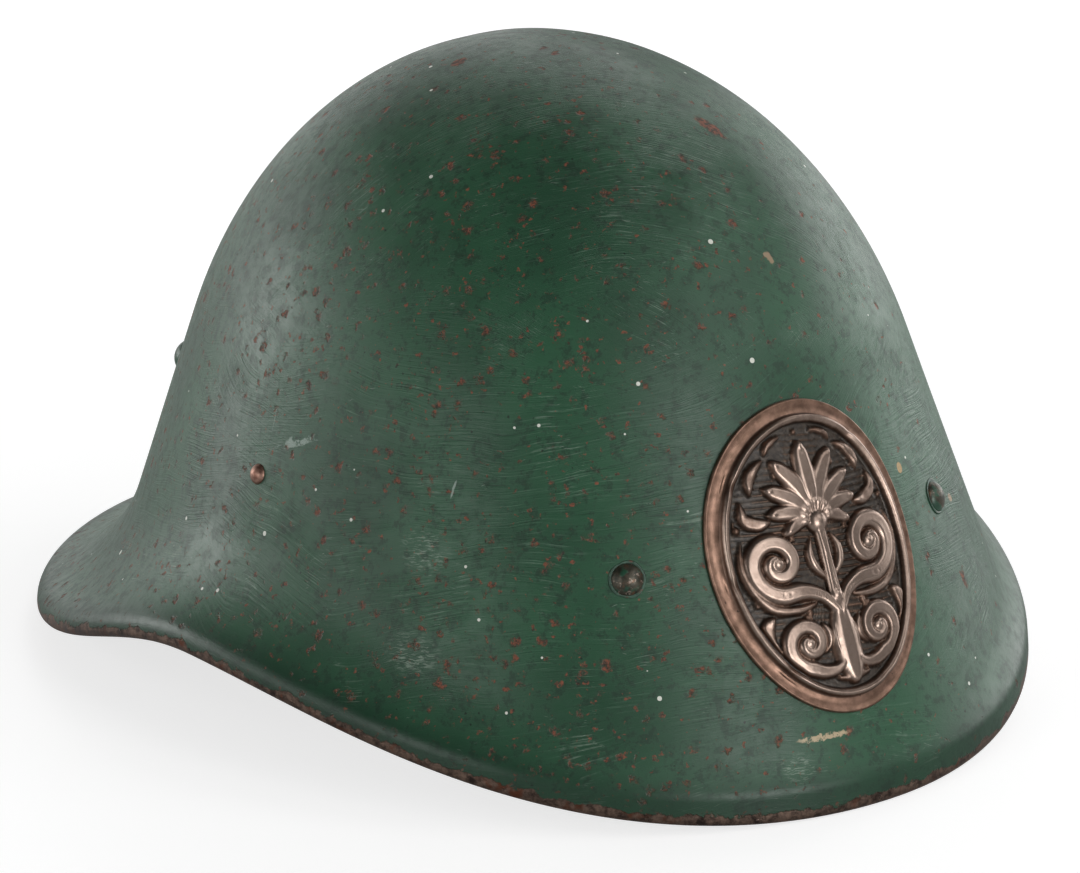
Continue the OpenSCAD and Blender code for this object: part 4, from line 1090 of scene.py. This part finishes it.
def build_felt():
    mat = felt_material()
    rows, cols = 60, 22
    off = rows * cols
    a = np.linspace(-1, 1, rows)[:, None] + np.zeros(cols)
    b = np.linspace(-1, 1, cols)[None] + np.zeros((rows, 1))
    plump = np.maximum(np.clip((1 - np.abs(a) ** 14) * (1 - np.abs(b) ** 8), 0, 1) ** 0.35, 0.3)
    edge = [i * cols for i in range(rows)] + [(rows - 1) * cols + j for j in range(1, cols)]
    edge += [i * cols + cols - 1 for i in range(rows - 2, -1, -1)] + [j for j in range(cols - 2, 0, -1)]
    faces = weave(rows, cols) + [g[::-1] for g in weave(rows, cols, start=off)]
    faces += [[i, j, j + off, i + off] for i, j in zip(edge, edge[1:] + edge[:1])]
    for name, t0 in (("front", 0.0), ("rear", 180.0), ("left", 90.0), ("right", -90.0)):
        t = t0 + a * FELT_TURN
        z = hoop_mid(t) + b * HOOP_W / 2
        fluff = waves(np.stack([a * 22, b * 9, 0 * a], -1), 7.0, int(t0) % 97 + 3) * 0.12
        half = FELT_T / 2 * plump * (0.95 + fluff)
        mid = PAD_D + FELT_T / 2
        v = np.concatenate([under(t, z, mid + k * half).reshape(-1, 3) for k in (-1, 1)])
        ob = piece("felt_" + name, (v, faces), mat, ("felt_pad_" + name,))


spring_steel = metal_material("spring_steel", (74, 70, 66), (132, 128, 122), (98, 62, 42), 0.5)
ring_steel = metal_material("ring_steel", (66, 62, 58), (118, 112, 106), (92, 58, 40), 0.5)
rivet_copper = metal_material("rivet_copper", (120, 86, 74), (178, 142, 126), (74, 54, 46), 0.35, 2.0)
lining_brass = metal_material("lining_brass", (112, 98, 66), (158, 142, 98), (70, 62, 46), 0.35, 2.0)

build_shell()
build_badge()
build_pins()
build_strap_fixings()
build_bridges()
build_hoop()
build_leather()
build_stitches()
build_lining_rivets()
build_lace()
build_felt()

for name in ("badge_prong_upper", "badge_prong_lower"):
    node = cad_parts[name]
    node = node if hasattr(node, "data") else bpy.data.objects[name]
    node.data.materials.clear()
    node.data.materials.append(rivet_copper)

# Camera at the photograph's angle
cam = bpy.data.objects.new("camera", bpy.data.cameras.new("camera"))
bpy.context.scene.collection.objects.link(cam)
cam.data.lens, cam.data.sensor_width, cam.data.sensor_fit = CAMERA_LENS, SENSOR, "HORIZONTAL"
cam.data.clip_start, cam.data.clip_end = 0.05, 50.0
cam.matrix_world = Matrix.Translation(CAMERA_AT) @ Matrix((RIGHT, UP, BACK)).transposed().to_4x4()
bpy.context.scene.camera = cam


# Plain pale floor that glows a little for the camera, so that it renders white and keeps the shadow
def stage_material():
    s = Nodes("stage")
    tree = s.tree
    path = tree.nodes.new("ShaderNodeLightPath")
    seen = s.top(path.outputs["Is Camera Ray"], s.mul(path.outputs["Is Glossy Ray"], FLOOR_IN_GLOSS))
    glow = tree.nodes.new("ShaderNodeEmission")
    glow.inputs["Color"].default_value = (1, 1, 1, 1)
    s.put(glow.inputs["Strength"], s.mul(seen, FLOOR_GLOW))
    add = tree.nodes.new("ShaderNodeAddShader")
    tree.links.new(s.shader.outputs[0], add.inputs[0])
    tree.links.new(glow.outputs[0], add.inputs[1])
    tree.links.new(add.outputs[0], s.out.inputs[0])
    s.shader.inputs["Specular IOR Level"].default_value = 0.0
    s.shader.inputs["Roughness"].default_value = 1.0
    s.shader.inputs["Base Color"].default_value = (FLOOR_GREY, FLOOR_GREY, FLOOR_GREY, 1)
    return s.mat


a = turn_angles(96)
radii = [0.01, 0.5, 1.2, 2.6, 6.0]
pts = np.concatenate([np.stack([r * np.cos(a), r * np.sin(a), 0 * a + FLOOR_Z], 1) for r in radii])
floor = make("floor", pts / MM, weave(len(radii), len(a), False, True) + [list(range(len(a)))])
floor.data.materials.append(stage_material())

# World that is white for the camera and dim for all other rays
world = bpy.data.worlds.new("studio")
world.use_nodes = True
bpy.context.scene.world = world
wt = world.node_tree
wt.nodes.clear()
out = wt.nodes.new("ShaderNodeOutputWorld")
bg = wt.nodes.new("ShaderNodeBackground")
bg.inputs["Color"].default_value = (1, 1, 1, 1)
path = wt.nodes.new("ShaderNodeLightPath")
seen = wt.nodes.new("ShaderNodeMapRange")
seen.inputs[3].default_value = WORLD_FILL
seen.inputs[4].default_value = 1.0
wt.links.new(path.outputs["Is Camera Ray"], seen.inputs[0])
wt.links.new(seen.outputs[0], bg.inputs["Strength"])
wt.links.new(bg.outputs[0], out.inputs[0])

# Soft square lamps in a ring about the helmet
flat_right, flat_back = (Vector((d[0], d[1], 0)).normalized() for d in (RIGHT, BACK))
for name, turn, rise, power in LAMPS:
    data = bpy.data.lights.new(name, "AREA")
    data.shape, data.size, data.energy = "SQUARE", LAMP_SIZE, power
    ob = bpy.data.objects.new(name, data)
    bpy.context.scene.collection.objects.link(ob)
    turn, rise = math.radians(turn), math.radians(rise)
    out = flat_right * math.sin(turn) + flat_back * math.cos(turn)
    ob.location = out * LAMP_FAR * math.cos(rise) + Vector((0, 0, LAMP_FOOT + LAMP_FAR * math.sin(rise)))
    aim = Vector(LAMP_AIM) - ob.location
    ob.rotation_euler = aim.to_track_quat("-Z", "Y").to_euler()

scene = bpy.context.scene
scene.view_settings.view_transform = "Standard"

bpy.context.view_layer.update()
